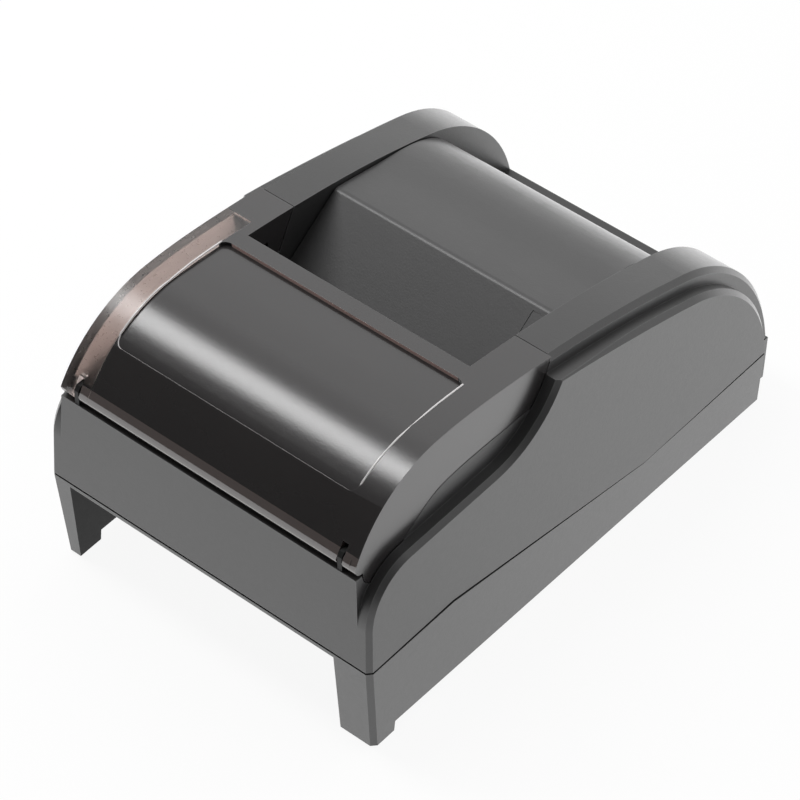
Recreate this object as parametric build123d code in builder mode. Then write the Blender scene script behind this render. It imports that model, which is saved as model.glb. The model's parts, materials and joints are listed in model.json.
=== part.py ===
"""Desktop thermal receipt printer for 58 mm paper, as an assembly of separate pieces.

Millimetres. X runs across the printer, Y from its front to its back, Z up.
The origin is under the middle of the printer, on the table.
"""
import math
import os

from build123d import *

os.makedirs("parts", exist_ok=True)

# Overall size
WIDTH = 130.0
DEPTH = 191.5
CREST_HEIGHT = 94.5
HALF_WIDTH = WIDTH / 2

# Walls and clearances
WALL = 2.2
COVER_WALL = 2.4
COVER_GAP = 0.4
LID_GAP = 0.4
BODY_GAP = 0.3
RUNNING_FIT = 0.05
SHADOW_GAP = 0.7

# Parting line between the two housings, seen from the side
PARTING_FRONT = 34.7
PARTING_REAR = 19.5
PARTING_KINK_FRONT = 37.2
PARTING_KINK_REAR = DEPTH - 66.0

# Upper housing
FRONT_LEAN = 0.11
FRONT_WALL_TOP = 69.2
FRONT_WALL = 2.5
RAIL_DRAFT = 0.055
RAIL_HALF = HALF_WIDTH - 3.7
SIDE_DRAFT = 0.03
WELL_HALF = HALF_WIDTH - 21.3
RAIL_BEVEL = 1.5
CHEEK_STEP = 5.2
CHEEK_BEVEL = 1.5
RIM_STRIP = 8.0
RIM_SPARE = 0.7
DECK_TOP = 31.0
DECK_FRONT = DEPTH - 31.5
BAY_HALF = HALF_WIDTH - 18.0

# Side view of the crest: an arc at the front, a long easy curve, an arc at the rear
FRONT_ARC = (42.0, 50.0, CREST_HEIGHT - 50.0)
CREST = [(70.0, 92.2, 7.4), (95.0, 88.1, 11.6), (125.0, 81.7, 13.4)]
REAR_ARC = (DEPTH - 53.7, 22.0, 53.7)
REAR_ARC_START = 18.2

# Side view of the cheek outline: a hump at the front, then a hollow sweep up to the kink
HUMP_TOP = 69.0
HUMP_RADIUS = 20.0
SWEEP_RADIUS = 36.0
SWEEP_START = 60.0
KINK = 89.2

# Front cover
HINGE = (7.0, 73.0)
BARREL_RADIUS = 2.5
STUB_RADIUS = 1.4
BARREL_HALF = HALF_WIDTH - 14.0
EAR_THICKNESS = 1.7
KNOB_END = HALF_WIDTH - 9.0
JOINT_TOP = 92.3
JOINT_LOW = (84.2, 76.0)
MIDDLE_REAR = 72.2
PANEL_FRONT = 17.3
PANEL_REAR = 66.0
PANEL_HALF = HALF_WIDTH - 17.5
SKIRT = [(12.6, 62.9), (19.6, 65.8), (25.9, 70.2), (38.0, 76.2), (50.0, 77.6), (66.0, 77.2)]

# Bin lid
LID_TIP = (83.5, 66.4)
LID_CREASE = (110.5, 83.1)
LID_TOP = [(DEPTH - 61.5, 79.0), (DEPTH - 41.5, 73.9), (DEPTH - 31.1, 66.2), (DEPTH - 24.5, 50.0)]
LID_END = (DEPTH - 22.5, 36.5)
LID_HINGE = (DEPTH - 28.5, 39.0)
LID_WALL = 2.2
LID_PIN_RADIUS = 2.0
# The slope has a strip down each side, sunk along its inner edge
STRIP_EDGE = WELL_HALF - 7.0
STRIP_DEPTH = 0.8

# Lower housing
LEG_LEFT = 5.7
LEG_RIGHT = 13.3
BASE_DRAFT = 0.0403
BASE_HALF_FRONT = HALF_WIDTH - 1.8
BASE_HALF_REAR = HALF_WIDTH - 0.8
FOOT_LENGTH = 9.6
FOOT_DROP = 4.4
ARCH_DEPTH = 24.0
FLOOR_HEIGHT = 5.0
CONNECTOR_HALF = HALF_WIDTH - 15.3

# Paper and its bin
PAPER_WIDTH = 58.0
ROLL_RADIUS = 27.0
BIN_AXIS = (125.0, 50.5)
BIN_WALL = 2.0
BIN_HALF = PAPER_WIDTH / 2 + 0.3

# Print mechanism
PLATEN = (77.8, 60.2)
PLATEN_RADIUS = 5.5
SHAFT_RADIUS = 2.0
BUSH_RADIUS = 3.5
GEAR_MODULE = 0.5
GEAR_WIDTH = 3.5
GEAR_X = 39.0
BACKLASH = 0.2
PLATEN_TEETH = 24
IDLER_TEETH = 36
PINION_TEETH = 12
MOTOR_RADIUS = 10.0
FRAME_HALF = 36.6
FRAME_SHEET = 1.4
HEAD_PIVOT = (69.6, 46.5)

# Board and sockets
BOARD_BOTTOM = 9.5
BOARD_THICKNESS = 1.6
BOARD_TOP = BOARD_BOTTOM + BOARD_THICKNESS
BOARD_FRONT = DEPTH - 95.5

# Feed button and lamps in the left cheek
BUTTON = (38.0, 54.0)
LAMPS = (50.0, 58.0)

# Screws seen from above, on the right side for those in pairs, and the tops of their columns
SCREW_SPOTS = [(HALF_WIDTH - 13.0, 70.0), (HALF_WIDTH - 13.0, DEPTH - 19.5)]
COLUMN_TOPS = [76.0, 58.0]
SCREW_TOPS = [40.0, 34.0]
POSTS = [(-30.0, 56.0), (8.0, 54.0), (-30.0, 88.0), (30.0, 88.0)]
BOARD_SPOTS = [
    (-44.0, BOARD_FRONT + 4.0),
    (20.0, BOARD_FRONT + 4.0),
    (-44.0, DEPTH - 9.5),
    (20.0, DEPTH - 23.5),
]

# Rubber feet: middle across, middle in depth, width and length
PADS = [
    (4.6 - HALF_WIDTH, 5.2, 3.6, 6.5),
    (HALF_WIDTH - 8.4, 5.2, 9.0, 6.5),
    (4.8 - HALF_WIDTH, DEPTH - 17.5, 4.0, 9.0),
    (HALF_WIDTH - 7.6, DEPTH - 17.5, 9.0, 9.0),
]


def side(y, z):
    """A point of a side view, with y counted back from the front face."""
    return (y - DEPTH / 2, z)


def back(distance):
    """A depth from the front face, given as a distance from the rear end."""
    return DEPTH - distance


def polar(centre, radius, degrees):
    """A point of a side view on a circle, at an angle up from the rearward direction."""
    angle = math.radians(degrees)
    return (centre[0] + radius * math.cos(angle), centre[1] + radius * math.sin(angle))


def crest_points(inset):
    """The crest's inner points and the start of the rear arc, moved inwards by inset."""
    points = []
    for y, z, fall in CREST:
        points.append(polar((y, z), -inset, 90 - fall))
    points.append(polar(REAR_ARC, REAR_ARC[2] - inset, 90 - REAR_ARC_START))
    return points


def front_at(z):
    """Depth of the leaning front face at a height."""
    return FRONT_LEAN * (z - PARTING_FRONT)


def hump_centre():
    """The hump's arc is tangent to the front face and to the hump's top."""
    z = HUMP_TOP - HUMP_RADIUS
    y = front_at(z) + HUMP_RADIUS * math.sqrt(1 + FRONT_LEAN**2)
    return (y, z)


def crest_line(inset, front, bottom):
    """Side view under the crest, from the front arc back to the rear arc."""
    radius = FRONT_ARC[2] - inset
    top = (FRONT_ARC[0], FRONT_ARC[1] + radius)
    start = (FRONT_ARC[0] - math.sqrt(radius**2 - (front[1] - FRONT_ARC[1]) ** 2), front[1])
    points = crest_points(inset)
    rear = (REAR_ARC[0] + REAR_ARC[2] - inset, REAR_ARC[1])
    fall = math.radians(REAR_ARC_START)
    with BuildLine() as line:
        ThreePointArc(side(*start), side(*polar(FRONT_ARC, radius, 118)), side(*top))
        Spline(
            *[side(*p) for p in [top] + points],
            tangents=[(1, 0), (math.cos(fall), -math.sin(fall))],
        )
        ThreePointArc(
            side(*points[-1]),
            side(*polar(REAR_ARC, REAR_ARC[2] - inset, 36)),
            side(*rear),
        )
        Polyline(
            side(*rear),
            side(rear[0], bottom),
            side(front[0], bottom),
            side(*front),
            side(*start),
        )
    return line.edges()


def cheek_line(inset, bottom):
    """Side view of the stepped cheek: front face, hump, hollow sweep, kink and rear."""
    centre = hump_centre()
    radius = HUMP_RADIUS - inset
    lean = math.degrees(math.atan(FRONT_LEAN))
    start = polar(centre, radius, 180 - lean)
    crown = (centre[0], HUMP_TOP - inset)
    sweep_centre = (SWEEP_START, HUMP_TOP + SWEEP_RADIUS)
    sweep_radius = SWEEP_RADIUS + inset
    sweep_low = (SWEEP_START, HUMP_TOP - inset)
    across = KINK - inset / 2 - SWEEP_START
    kink = (SWEEP_START + across, sweep_centre[1] - math.sqrt(sweep_radius**2 - across**2))
    sweep_angle = math.degrees(math.asin(across / sweep_radius)) / 2
    points = crest_points(CHEEK_STEP + inset)[2:]
    rear_radius = REAR_ARC[2] - CHEEK_STEP - inset
    rear = (REAR_ARC[0] + rear_radius, REAR_ARC[1])
    fall = math.radians(REAR_ARC_START)
    first_fall = math.radians(CREST[1][2])
    foot = (start[0] - FRONT_LEAN * (start[1] - bottom), bottom)
    with BuildLine() as line:
        Line(side(*foot), side(*start))
        ThreePointArc(side(*start), side(*polar(centre, radius, 135)), side(*crown))
        Line(side(*crown), side(*sweep_low))
        ThreePointArc(
            side(*sweep_low),
            side(*polar(sweep_centre, sweep_radius, -90 + sweep_angle)),
            side(*kink),
        )
        Spline(
            *[side(*p) for p in [kink] + points],
            tangents=[
                (math.cos(first_fall), -math.sin(first_fall)),
                (math.cos(fall), -math.sin(fall)),
            ],
        )
        ThreePointArc(
            side(*points[-1]),
            side(*polar(REAR_ARC, rear_radius, 36)),
            side(*rear),
        )
        Polyline(side(*rear), side(rear[0], bottom), side(*foot))
    return line.edges()


def level_prism(outline, half):
    """A side view carried straight across, half on each side of the middle."""
    with BuildPart() as prism:
        with BuildSketch(Plane.YZ):
            make_face(outline)
        extrude(amount=half, both=True)
    return prism.part


def rim_waste(outline, half, draft, bevel):
    """What a bevelled rim leaves away along the leaning right side face."""
    slope = math.sqrt(1 + draft**2)
    leaning = Plane(
        origin=(half + draft * PARTING_REAR, 0, 0),
        x_dir=(0, 1, 0),
        z_dir=(1 / slope, 0, draft / slope),
    )
    with BuildPart() as kept:
        with BuildSketch(leaning):
            make_face(outline)
        extrude(amount=-RIM_STRIP)
        rim = [
            edge
            for edge in kept.edges()
            if abs(leaning.to_local_coords(edge.center()).Z) < 0.01
        ]
        chamfer(rim, bevel)
    with BuildPart() as waste:
        with BuildSketch(leaning.offset(-RIM_STRIP)):
            Rectangle(3 * DEPTH, 3 * DEPTH)
        extrude(amount=RIM_STRIP + 20)
        add(kept.part, mode=Mode.SUBTRACT)
    return waste.part


def shaped_body(level, leaning, half, draft, bevel):
    """A level prism with leaning sides, whose outer rims are bevelled."""
    waste = rim_waste(leaning, half, draft, bevel + RIM_SPARE)
    with BuildPart() as body:
        add(level_prism(level, WIDTH))
        add(drafted_block(half, draft, PARTING_REAR, -5, 110), mode=Mode.INTERSECT)
        add(waste, mode=Mode.SUBTRACT)
        mirror(waste, about=Plane.YZ, mode=Mode.SUBTRACT)
    return body.part


def drafted_block(half, draft, datum, low, high):
    """A block whose two sides lean inwards by draft for each millimetre of height."""
    with BuildPart() as block:
        with BuildSketch(Plane.XZ):
            with BuildLine():
                low_half = half - draft * (low - datum)
                high_half = half - draft * (high - datum)
                Polyline(
                    (-low_half, low),
                    (low_half, low),
                    (high_half, high),
                    (-high_half, high),
                    close=True,
                )
            make_face()
        extrude(amount=DEPTH, both=True)
    return block.part


def rail_block(inset):
    """The drafted width of the body and its rails."""
    return drafted_block(RAIL_HALF - inset, RAIL_DRAFT, PARTING_REAR, -5, 110)


def side_block(inset):
    """The drafted width of the cheeks."""
    return drafted_block(WIDTH / 2 - inset, SIDE_DRAFT, PARTING_REAR, -5, 110)


def side_prism(points, half):
    """A side view given by its corners, as wide as half on each side of the middle."""
    with BuildPart() as prism:
        with BuildSketch(Plane.YZ):
            with BuildLine():
                Polyline(*[side(*p) for p in points], close=True)
            make_face()
        extrude(amount=half, both=True)
    return prism.part


def side_plate(points, inner, outer):
    """A side view given by its corners, as one plate between two X positions."""
    with BuildPart() as plate:
        with BuildSketch(Plane.YZ.offset(inner)):
            with BuildLine():
                Polyline(*[side(*p) for p in points], close=True)
            make_face()
        extrude(amount=outer - inner)
    return plate.part


def rod(centre, radius, inner, outer):
    """A round bar along X, between two X positions."""
    with BuildPart() as bar:
        with BuildSketch(Plane.YZ.offset(inner)):
            with Locations(side(*centre)):
                Circle(radius)
        extrude(amount=outer - inner)
    return bar.part


def box(low, high):
    """A block between two corners, with y counted back from the front face."""
    size = [high[i] - low[i] for i in range(3)]
    with BuildPart() as block:
        with BuildSketch(Plane.XY.offset(low[2])):
            with Locations(((low[0] + high[0]) / 2, (low[1] + high[1]) / 2 - DEPTH / 2)):
                Rectangle(size[0], size[1])
        extrude(amount=size[2])
    return block.part


def column(x, y, radius, low, high):
    """An upright round bar."""
    with BuildPart() as bar:
        with BuildSketch(Plane.XY.offset(low)):
            with Locations((x, y - DEPTH / 2)):
                Circle(radius)
        extrude(amount=high - low)
    return bar.part


def pair(piece):
    """A piece and its mirror image on the other side of the printer."""
    with BuildPart() as both:
        add(piece)
        mirror(piece, about=Plane.YZ)
    return both.part


def finish(piece, name):
    """Label a piece and write it as its own file."""
    solid = piece.part
    solid.label = name
    export_step(solid, f"parts/{name}.step")
    print(f"{name:20s} solids {len(solid.solids()):2d}  volume {solid.volume:10.1f}")


def parting_prism(rise, half):
    """Everything under the parting line, raised by rise."""
    return side_prism(
        [
            (-20, PARTING_FRONT + rise),
            (PARTING_KINK_FRONT, PARTING_FRONT + rise),
            (PARTING_KINK_REAR, PARTING_REAR + rise),
            (DEPTH + 20, PARTING_REAR + rise),
            (DEPTH + 20, -20),
            (-20, -20),
        ],
        half,
    )


def skirt_curve(drop):
    """Lower edge of the cover's side skirts, from the front lobe to the rear joint."""
    first = (HINGE[0] - 0.2 - drop * 0.5, 67.2 - drop)
    low = (SKIRT[0][0], SKIRT[0][1] - drop)
    lobe_end = (SKIRT[1][0], SKIRT[1][1] - drop)
    points = [(y, z - drop) for y, z in SKIRT[1:]] + [(JOINT_LOW[0], JOINT_LOW[1] - drop)]
    arc = ThreePointArc(side(*first), side(*low), side(*lobe_end))
    Spline(*[side(*p) for p in points], tangents=[arc % 1, (1, -0.06)])
    return first, points[-1]


def joint_zone(drop, half_grow):
    """What lies above the cover's skirt line and in front of its rear joint."""
    with BuildPart() as zone:
        with BuildSketch(Plane.YZ):
            with BuildLine():
                first, last = skirt_curve(drop)
                Polyline(
                    side(*last),
                    side(JOINT_LOW[0] + drop, JOINT_LOW[1] - drop),
                    side(JOINT_TOP + drop, 88.7),
                    side(JOINT_TOP + drop + 9, 101),
                    side(-20, 101),
                    side(-20, FRONT_WALL_TOP),
                    side(front_at(FRONT_WALL_TOP) + FRONT_WALL, FRONT_WALL_TOP),
                    side(*first),
                )
            make_face()
        extrude(amount=WIDTH, both=True)
        add(rail_block(-half_grow), mode=Mode.INTERSECT)
    return zone.part


# Upper housing
upper_body = shaped_body(
    crest_line(0, (-2, 60), 10),
    crest_line(-RIM_SPARE, (-5, 60), -20),
    RAIL_HALF,
    RAIL_DRAFT,
    RAIL_BEVEL,
)
cheeks = shaped_body(
    cheek_line(0, 10),
    cheek_line(-RIM_SPARE, -20),
    WIDTH / 2,
    SIDE_DRAFT,
    CHEEK_BEVEL,
)
front_waste = side_prism([(-20, 5), (front_at(5), 5), (front_at(110), 110), (-20, 110)], WIDTH)

with BuildPart() as hollow:
    add(level_prism(crest_line(WALL, (-2, 60), 5), WIDTH))
    add(rail_block(WALL), mode=Mode.INTERSECT)
    with BuildPart(mode=Mode.ADD) as cheek_hollow:
        add(level_prism(cheek_line(WALL, 5), WIDTH))
        add(side_block(WALL), mode=Mode.INTERSECT)
    lean_low = front_at(0) + FRONT_WALL
    lean_high = front_at(110) + FRONT_WALL
    add(side_prism([(-20, 0), (lean_low, 0), (lean_high, 110), (-20, 110)], WIDTH), mode=Mode.SUBTRACT)
    add(joint_zone(COVER_GAP + WALL, BODY_GAP + WALL), mode=Mode.SUBTRACT)
    add(box((WELL_HALF + WALL, -10, -10), (WIDTH, back(-10), 120)), mode=Mode.INTERSECT)

with BuildPart() as upper_housing:
    add(upper_body)
    add(cheeks)
    add(joint_zone(COVER_GAP, BODY_GAP), mode=Mode.SUBTRACT)
    add(front_waste, mode=Mode.SUBTRACT)
    add(hollow.part, mode=Mode.SUBTRACT)
    mirror(hollow.part, about=Plane.YZ, mode=Mode.SUBTRACT)
    # Well for the lid between the rails, open to the rear over the deck
    add(box((-WELL_HALF, 60, DECK_TOP), (WELL_HALF, back(-10), 110)), mode=Mode.SUBTRACT)
    # Open inside for the mechanism and the paper bin
    add(box((-WELL_HALF, 60, 5), (WELL_HALF, DECK_FRONT, 110)), mode=Mode.SUBTRACT)
    add(
        box((-WELL_HALF, DECK_FRONT - 1, 5), (WELL_HALF, back(WALL), DECK_TOP - WALL)),
        mode=Mode.SUBTRACT,
    )
    add(
        side_prism([(FRONT_WALL, 5), (62, 5), (62, 110), (front_at(110) + FRONT_WALL, 110)], BAY_HALF),
        mode=Mode.SUBTRACT,
    )
    # Side walls of the mechanism bay under the cover
    with BuildPart(mode=Mode.PRIVATE) as bay_walls:
        add(level_prism(crest_line(COVER_WALL + 0.8, (-2, 60), 10), BAY_HALF + WALL))
        add(box((-BAY_HALF, 0, 0), (BAY_HALF, 200, 110)), mode=Mode.SUBTRACT)
        add(box((-WIDTH, 10, 66), (WIDTH, 80, 110)), mode=Mode.INTERSECT)
        add(
            side_prism([(10, 66), (26, 68), (38, 74), (80, 75.5), (80, 40), (10, 40)], WIDTH),
            mode=Mode.SUBTRACT,
        )
    add(bay_walls.part)
    # Ledges under the paper bin's flange
    add(pair(box((WELL_HALF - 2.5, 96, 53.4), (WELL_HALF + 0.8, 144, 55.6))))
    # Ears that carry the cover's stubs
    ear = [
        (4.3, 64),
        (4.0, 68),
        (4.3, 74.6),
        (5.6, 76.0),
        (8.4, 76.0),
        (9.7, 74.6),
        (9.7, 70.5),
        (8.8, 64),
    ]
    add(pair(side_plate(ear, BARREL_HALF + 0.3, BARREL_HALF + 0.3 + EAR_THICKNESS)))
    add(pair(rod(HINGE, STUB_RADIUS + 0.06, BARREL_HALF - 1, BARREL_HALF + 3)), mode=Mode.SUBTRACT)
    # Columns for the housing screws
    for (x, y), top in zip(SCREW_SPOTS, COLUMN_TOPS):
        add(pair(column(x, y, 3.3, 15, top)))
        add(pair(box((WELL_HALF + 1.3, y - 1, 15), (x - 2, y + 1, top - 8))))
    for (x, y), top in zip(SCREW_SPOTS, SCREW_TOPS):
        add(pair(column(x, y, 1.5, 5, top)), mode=Mode.SUBTRACT)
    # Rear opening over the connector panel
    hole = CONNECTOR_HALF + BODY_GAP
    add(box((-hole, back(5.5), 5), (hole, back(-10), DECK_TOP - WALL)), mode=Mode.SUBTRACT)
    # Holes for the lid pins
    add(pair(rod(LID_HINGE, LID_PIN_RADIUS, WELL_HALF - 1, WELL_HALF + 2.3)), mode=Mode.SUBTRACT)
    # Feed button and lamps in the left cheek, with ribs for their board
    add(rod(BUTTON, 4.8, -WIDTH, 7 - HALF_WIDTH), mode=Mode.SUBTRACT)
    for y in LAMPS:
        add(rod((y, BUTTON[1]), 1.6, -WIDTH, 7 - HALF_WIDTH), mode=Mode.SUBTRACT)
    for y in (26.4, 64.0):
        add(box((2.4 - HALF_WIDTH, y, 47), (11.6 - HALF_WIDTH, y + 1.6, 61)))
    # Shadow gap along the parting line, then everything below the line goes
    with BuildPart(mode=Mode.PRIVATE) as gap_ring:
        add(parting_prism(SHADOW_GAP, WIDTH))
        with BuildPart(mode=Mode.SUBTRACT) as core:
            add(side_block(1.0))
            add(box((-WIDTH, 1.6, -10), (WIDTH, back(6.3), 60)), mode=Mode.INTERSECT)
        with BuildPart(mode=Mode.SUBTRACT) as rear_core:
            add(rail_block(1.0))
            add(box((-WIDTH, back(41.5), -10), (WIDTH, back(1.1), 60)), mode=Mode.INTERSECT)
    add(gap_ring.part, mode=Mode.SUBTRACT)
    add(parting_prism(0, WIDTH), mode=Mode.SUBTRACT)
finish(upper_housing, "upper_housing")


# Lower housing
def base_half(z, share):
    """Half width of the base at a height, at the front (0) or the rear (1)."""
    half = BASE_HALF_FRONT + share * (BASE_HALF_REAR - BASE_HALF_FRONT)
    return half + BASE_DRAFT * z


def base_block(inset, cut):
    """The base's drafted outside, or the same moved inwards."""
    with BuildPart() as block:
        for z in (0.0, PARTING_FRONT):
            front = 0.65 - 0.0187 * z + inset
            rear = back(7.6) + 0.1176 * z - inset
            wide = base_half(z, 1) - inset
            narrow = base_half(z, 0) - inset
            with BuildSketch(Plane.XY.offset(z)):
                with BuildLine():
                    corners = [
                        (-narrow + cut, front),
                        (narrow - cut, front),
                        (narrow, front + cut),
                        (wide, rear - cut),
                        (wide - cut, rear),
                        (-wide + cut, rear),
                        (-wide, rear - cut),
                        (-narrow, front + cut),
                    ]
                    Polyline(*[(x, y - DEPTH / 2) for x, y in corners], close=True)
                make_face()
        loft(ruled=True)
    return block.part


def tail_block(inset):
    """The base's middle part, which reaches further back under the rails."""
    return side_prism(
        [
            (back(41.5), 3.6 + inset),
            (back(2.5) - inset, 3.6 + inset),
            (back(0.2) - inset, PARTING_REAR),
            (back(-2.1) - inset, 35),
            (back(41.5), 35),
        ],
        RAIL_HALF - inset,
    )


def arch(grow):
    """The open space under the base: the front arch, its slope and the underside."""
    with BuildPart() as space:
        with BuildSketch(Plane.XZ):
            with BuildLine():
                Polyline(
                    (-BASE_HALF_FRONT + LEG_LEFT - grow, -5),
                    (BASE_HALF_FRONT - LEG_RIGHT + grow, -5),
                    (BASE_HALF_FRONT - LEG_RIGHT + 0.5 + grow, 40),
                    (-BASE_HALF_FRONT + LEG_LEFT + 1.0 - grow, 40),
                    close=True,
                )
            make_face()
        extrude(amount=2 * DEPTH, both=True)
        add(
            side_prism(
                [
                    (-20, -20),
                    (-20, 33.2 + grow),
                    (ARCH_DEPTH + grow * 0.5, 33.2 + grow),
                    (ARCH_DEPTH + 26 + grow * 0.5, FLOOR_HEIGHT + grow),
                    (back(9.5) + grow, FLOOR_HEIGHT + grow),
                    (back(9.5) + grow, -20),
                ],
                WIDTH,
            ),
            mode=Mode.INTERSECT,
        )
    return space.part


def foot_line(rise):
    """The bottom edge seen from the side, as a prism of what lies below it."""
    return side_prism(
        [
            (-20, 0.5 + rise),
            (FOOT_LENGTH + rise, 0.5 + rise),
            (FOOT_LENGTH + 0.6 + rise, FOOT_DROP + rise),
            (back(8.5), 0.35 + rise),
            (back(7.0), 3.6 + rise),
            (back(-20), 3.6 + rise),
            (back(-20), -20),
            (-20, -20),
        ],
        WIDTH,
    )


with BuildPart() as lower_housing:
    add(base_block(0, 1.6))
    add(tail_block(0))
    add(foot_line(0), mode=Mode.SUBTRACT)
    with BuildPart(mode=Mode.PRIVATE) as base_hollow:
        add(base_block(WALL, 0.8))
        add(tail_block(WALL))
        add(foot_line(WALL), mode=Mode.SUBTRACT)
        add(arch(WALL), mode=Mode.SUBTRACT)
    add(base_hollow.part, mode=Mode.SUBTRACT)
    add(arch(0), mode=Mode.SUBTRACT)
    # Recessed connector panel at the rear
    outer = CONNECTOR_HALF
    inner = CONNECTOR_HALF - WALL
    add(box((-outer, back(5.3), FLOOR_HEIGHT), (outer, back(3.1), 28.4)))
    add(pair(box((inner, back(8.5), FLOOR_HEIGHT), (outer, back(1.2), 28.4))))
    add(box((-inner, back(3.1), 7.4), (inner, back(-10), 60)), mode=Mode.SUBTRACT)
    # Bosses for the housing screws, the mechanism and the board
    for x, y in SCREW_SPOTS:
        add(pair(column(x, y, 3.6, 2.5, 30)))
    for x, y in POSTS:
        add(column(x, y, 3.4, FLOOR_HEIGHT + 1, 35.4))
    for x, y in BOARD_SPOTS:
        add(column(x, y, 3.0, FLOOR_HEIGHT + 1, BOARD_BOTTOM))
    for x, y in SCREW_SPOTS:
        add(pair(column(x, y, 1.5, -5, 40)), mode=Mode.SUBTRACT)
        add(pair(column(x, y, 2.7, -5, 12)), mode=Mode.SUBTRACT)
    for x, y in POSTS:
        add(column(x, y, 1.2, 24, 40), mode=Mode.SUBTRACT)
    for x, y in BOARD_SPOTS:
        add(column(x, y, 1.0, 6.2, 12), mode=Mode.SUBTRACT)
    # Everything above the parting line goes, except the connector panel
    with BuildPart(mode=Mode.PRIVATE) as above:
        add(box((-WIDTH, -20, -20), (WIDTH, back(-30), 60)))
        add(parting_prism(0, WIDTH), mode=Mode.SUBTRACT)
        add(box((-outer, back(9.5), 15), (outer, back(3.1), 60)), mode=Mode.SUBTRACT)
        for x, y in POSTS:
            add(column(x, y, 5, 10, 36), mode=Mode.SUBTRACT)
    add(above.part, mode=Mode.SUBTRACT)
    # Panel holes for the sockets and the switch
    for left, right, low, high in (
        (-36.3, -23.7, 10.8, 22.4),
        (-14.3, -4.7, 10.8, 22.4),
        (1.7, 16.3, 10.8, 24.4),
        (25.0, 43.0, 10.5, 23.5),
    ):
        add(box((left, back(6.5), low), (right, back(1.5), high)), mode=Mode.SUBTRACT)
    # Recesses for the rubber feet
    for x, y, wide, long in PADS:
        add(box((x - wide / 2, y - long / 2, -1), (x + wide / 2, y + long / 2, 1.2)), mode=Mode.SUBTRACT)
finish(lower_housing, "lower_housing")


# Front cover
with BuildPart() as cover_hollow:
    add(level_prism(crest_line(COVER_WALL, (-2, 60), 5), WIDTH))
    add(rail_block(COVER_WALL), mode=Mode.INTERSECT)
    # The arms keep an inner skirt and a rear wall
    inner_rear = MIDDLE_REAR - COVER_WALL
    add(pair(box((30, inner_rear, 40), (WELL_HALF + COVER_WALL, 120, 110))), mode=Mode.SUBTRACT)
    add(box((-31, inner_rear, 40), (31, 120, 110)), mode=Mode.SUBTRACT)
    rear_wall = [
        (JOINT_LOW[0] - 2.8, 60),
        (JOINT_LOW[0] - 2.8, 76),
        (89.6, 88.4),
        (96, 101),
        (120, 101),
        (120, 60),
    ]
    add(side_prism(rear_wall, WIDTH), mode=Mode.SUBTRACT)

with BuildPart() as front_cover:
    with BuildSketch(Plane.YZ):
        with BuildLine():
            first, last = skirt_curve(0)
            Polyline(
                side(*last),
                side(91.0, 87.0),
                side(JOINT_TOP, 88.6),
                side(JOINT_TOP + 7, 101),
                side(-20, 101),
                side(-20, HINGE[1]),
                side(3.9, HINGE[1]),
                side(4.4, 71.2),
                side(5.3, 70.4),
                side(6.9, 69.9),
                side(*first),
            )
        make_face()
    extrude(amount=WIDTH, both=True)
    add(level_prism(crest_line(0, (-2, 60), 10), WIDTH), mode=Mode.INTERSECT)
    add(rail_block(0), mode=Mode.INTERSECT)
    add(cover_hollow.part, mode=Mode.SUBTRACT)
    add(box((-WELL_HALF, MIDDLE_REAR, 40), (WELL_HALF, 120, 110)), mode=Mode.SUBTRACT)
    # The middle keeps only a short flange at its rear edge
    add(
        side_prism([(62, 60), (62, 83), (80, 83), (80, 60)], WELL_HALF + COVER_WALL),
        mode=Mode.SUBTRACT,
    )
    # Shallow panel, deeper towards the rear
    with BuildPart(mode=Mode.PRIVATE) as panel:
        with BuildSketch(Plane.XY.offset(60)):
            with Locations((0, (PANEL_FRONT + PANEL_REAR) / 2 - DEPTH / 2)):
                RectangleRounded(2 * PANEL_HALF, PANEL_REAR - PANEL_FRONT, 3)
        extrude(amount=60)
        sunk = level_prism(crest_line(0.5, (-2, 60), 10), WIDTH)
        pivot = Pos(0, PANEL_FRONT - DEPTH / 2, 87.0)
        add(pivot * Rot(-1.0, 0, 0) * pivot.inverse() * sunk, mode=Mode.SUBTRACT)
    add(panel.part, mode=Mode.SUBTRACT)
    # Hinge: a barrel along the lip, a notch for each ear, and stubs into the knobs
    add(rod(HINGE, BARREL_RADIUS, -BARREL_HALF, BARREL_HALF))
    notch_end = BARREL_HALF + 0.6 + EAR_THICKNESS
    add(pair(rod(HINGE, 5.2, BARREL_HALF, notch_end)), mode=Mode.SUBTRACT)
    add(pair(rod(HINGE, STUB_RADIUS, BARREL_HALF - 1, notch_end + 1)))
    add(pair(rod(HINGE, BARREL_RADIUS + 0.4, notch_end, KNOB_END)))
finish(front_cover, "front_cover")

# Bin lid
with BuildPart() as lid_block:
    with BuildSketch(Plane.YZ):
        with BuildLine():
            Line(side(*LID_TIP), side(*LID_CREASE))
            Spline(
                *[side(*p) for p in [LID_CREASE] + LID_TOP + [LID_END]],
                tangents=[(1, -0.17), (-0.02, -1)],
            )
            Polyline(
                side(*LID_END),
                side(back(28.0), 34.5),
                side(back(31.5), 49),
                side(back(51.5), 62),
                side(104, 67.5),
                side(85.4, 62.8),
                side(*LID_TIP),
            )
        make_face()
    extrude(amount=WELL_HALF - LID_GAP, both=True)
    crease = [
        edge
        for edge in lid_block.edges()
        if abs(edge.center().Y - (LID_CREASE[0] - DEPTH / 2)) < 0.5
        and abs(edge.center().Z - LID_CREASE[1]) < 0.5
    ]
    fillet(crease, 3)

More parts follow.
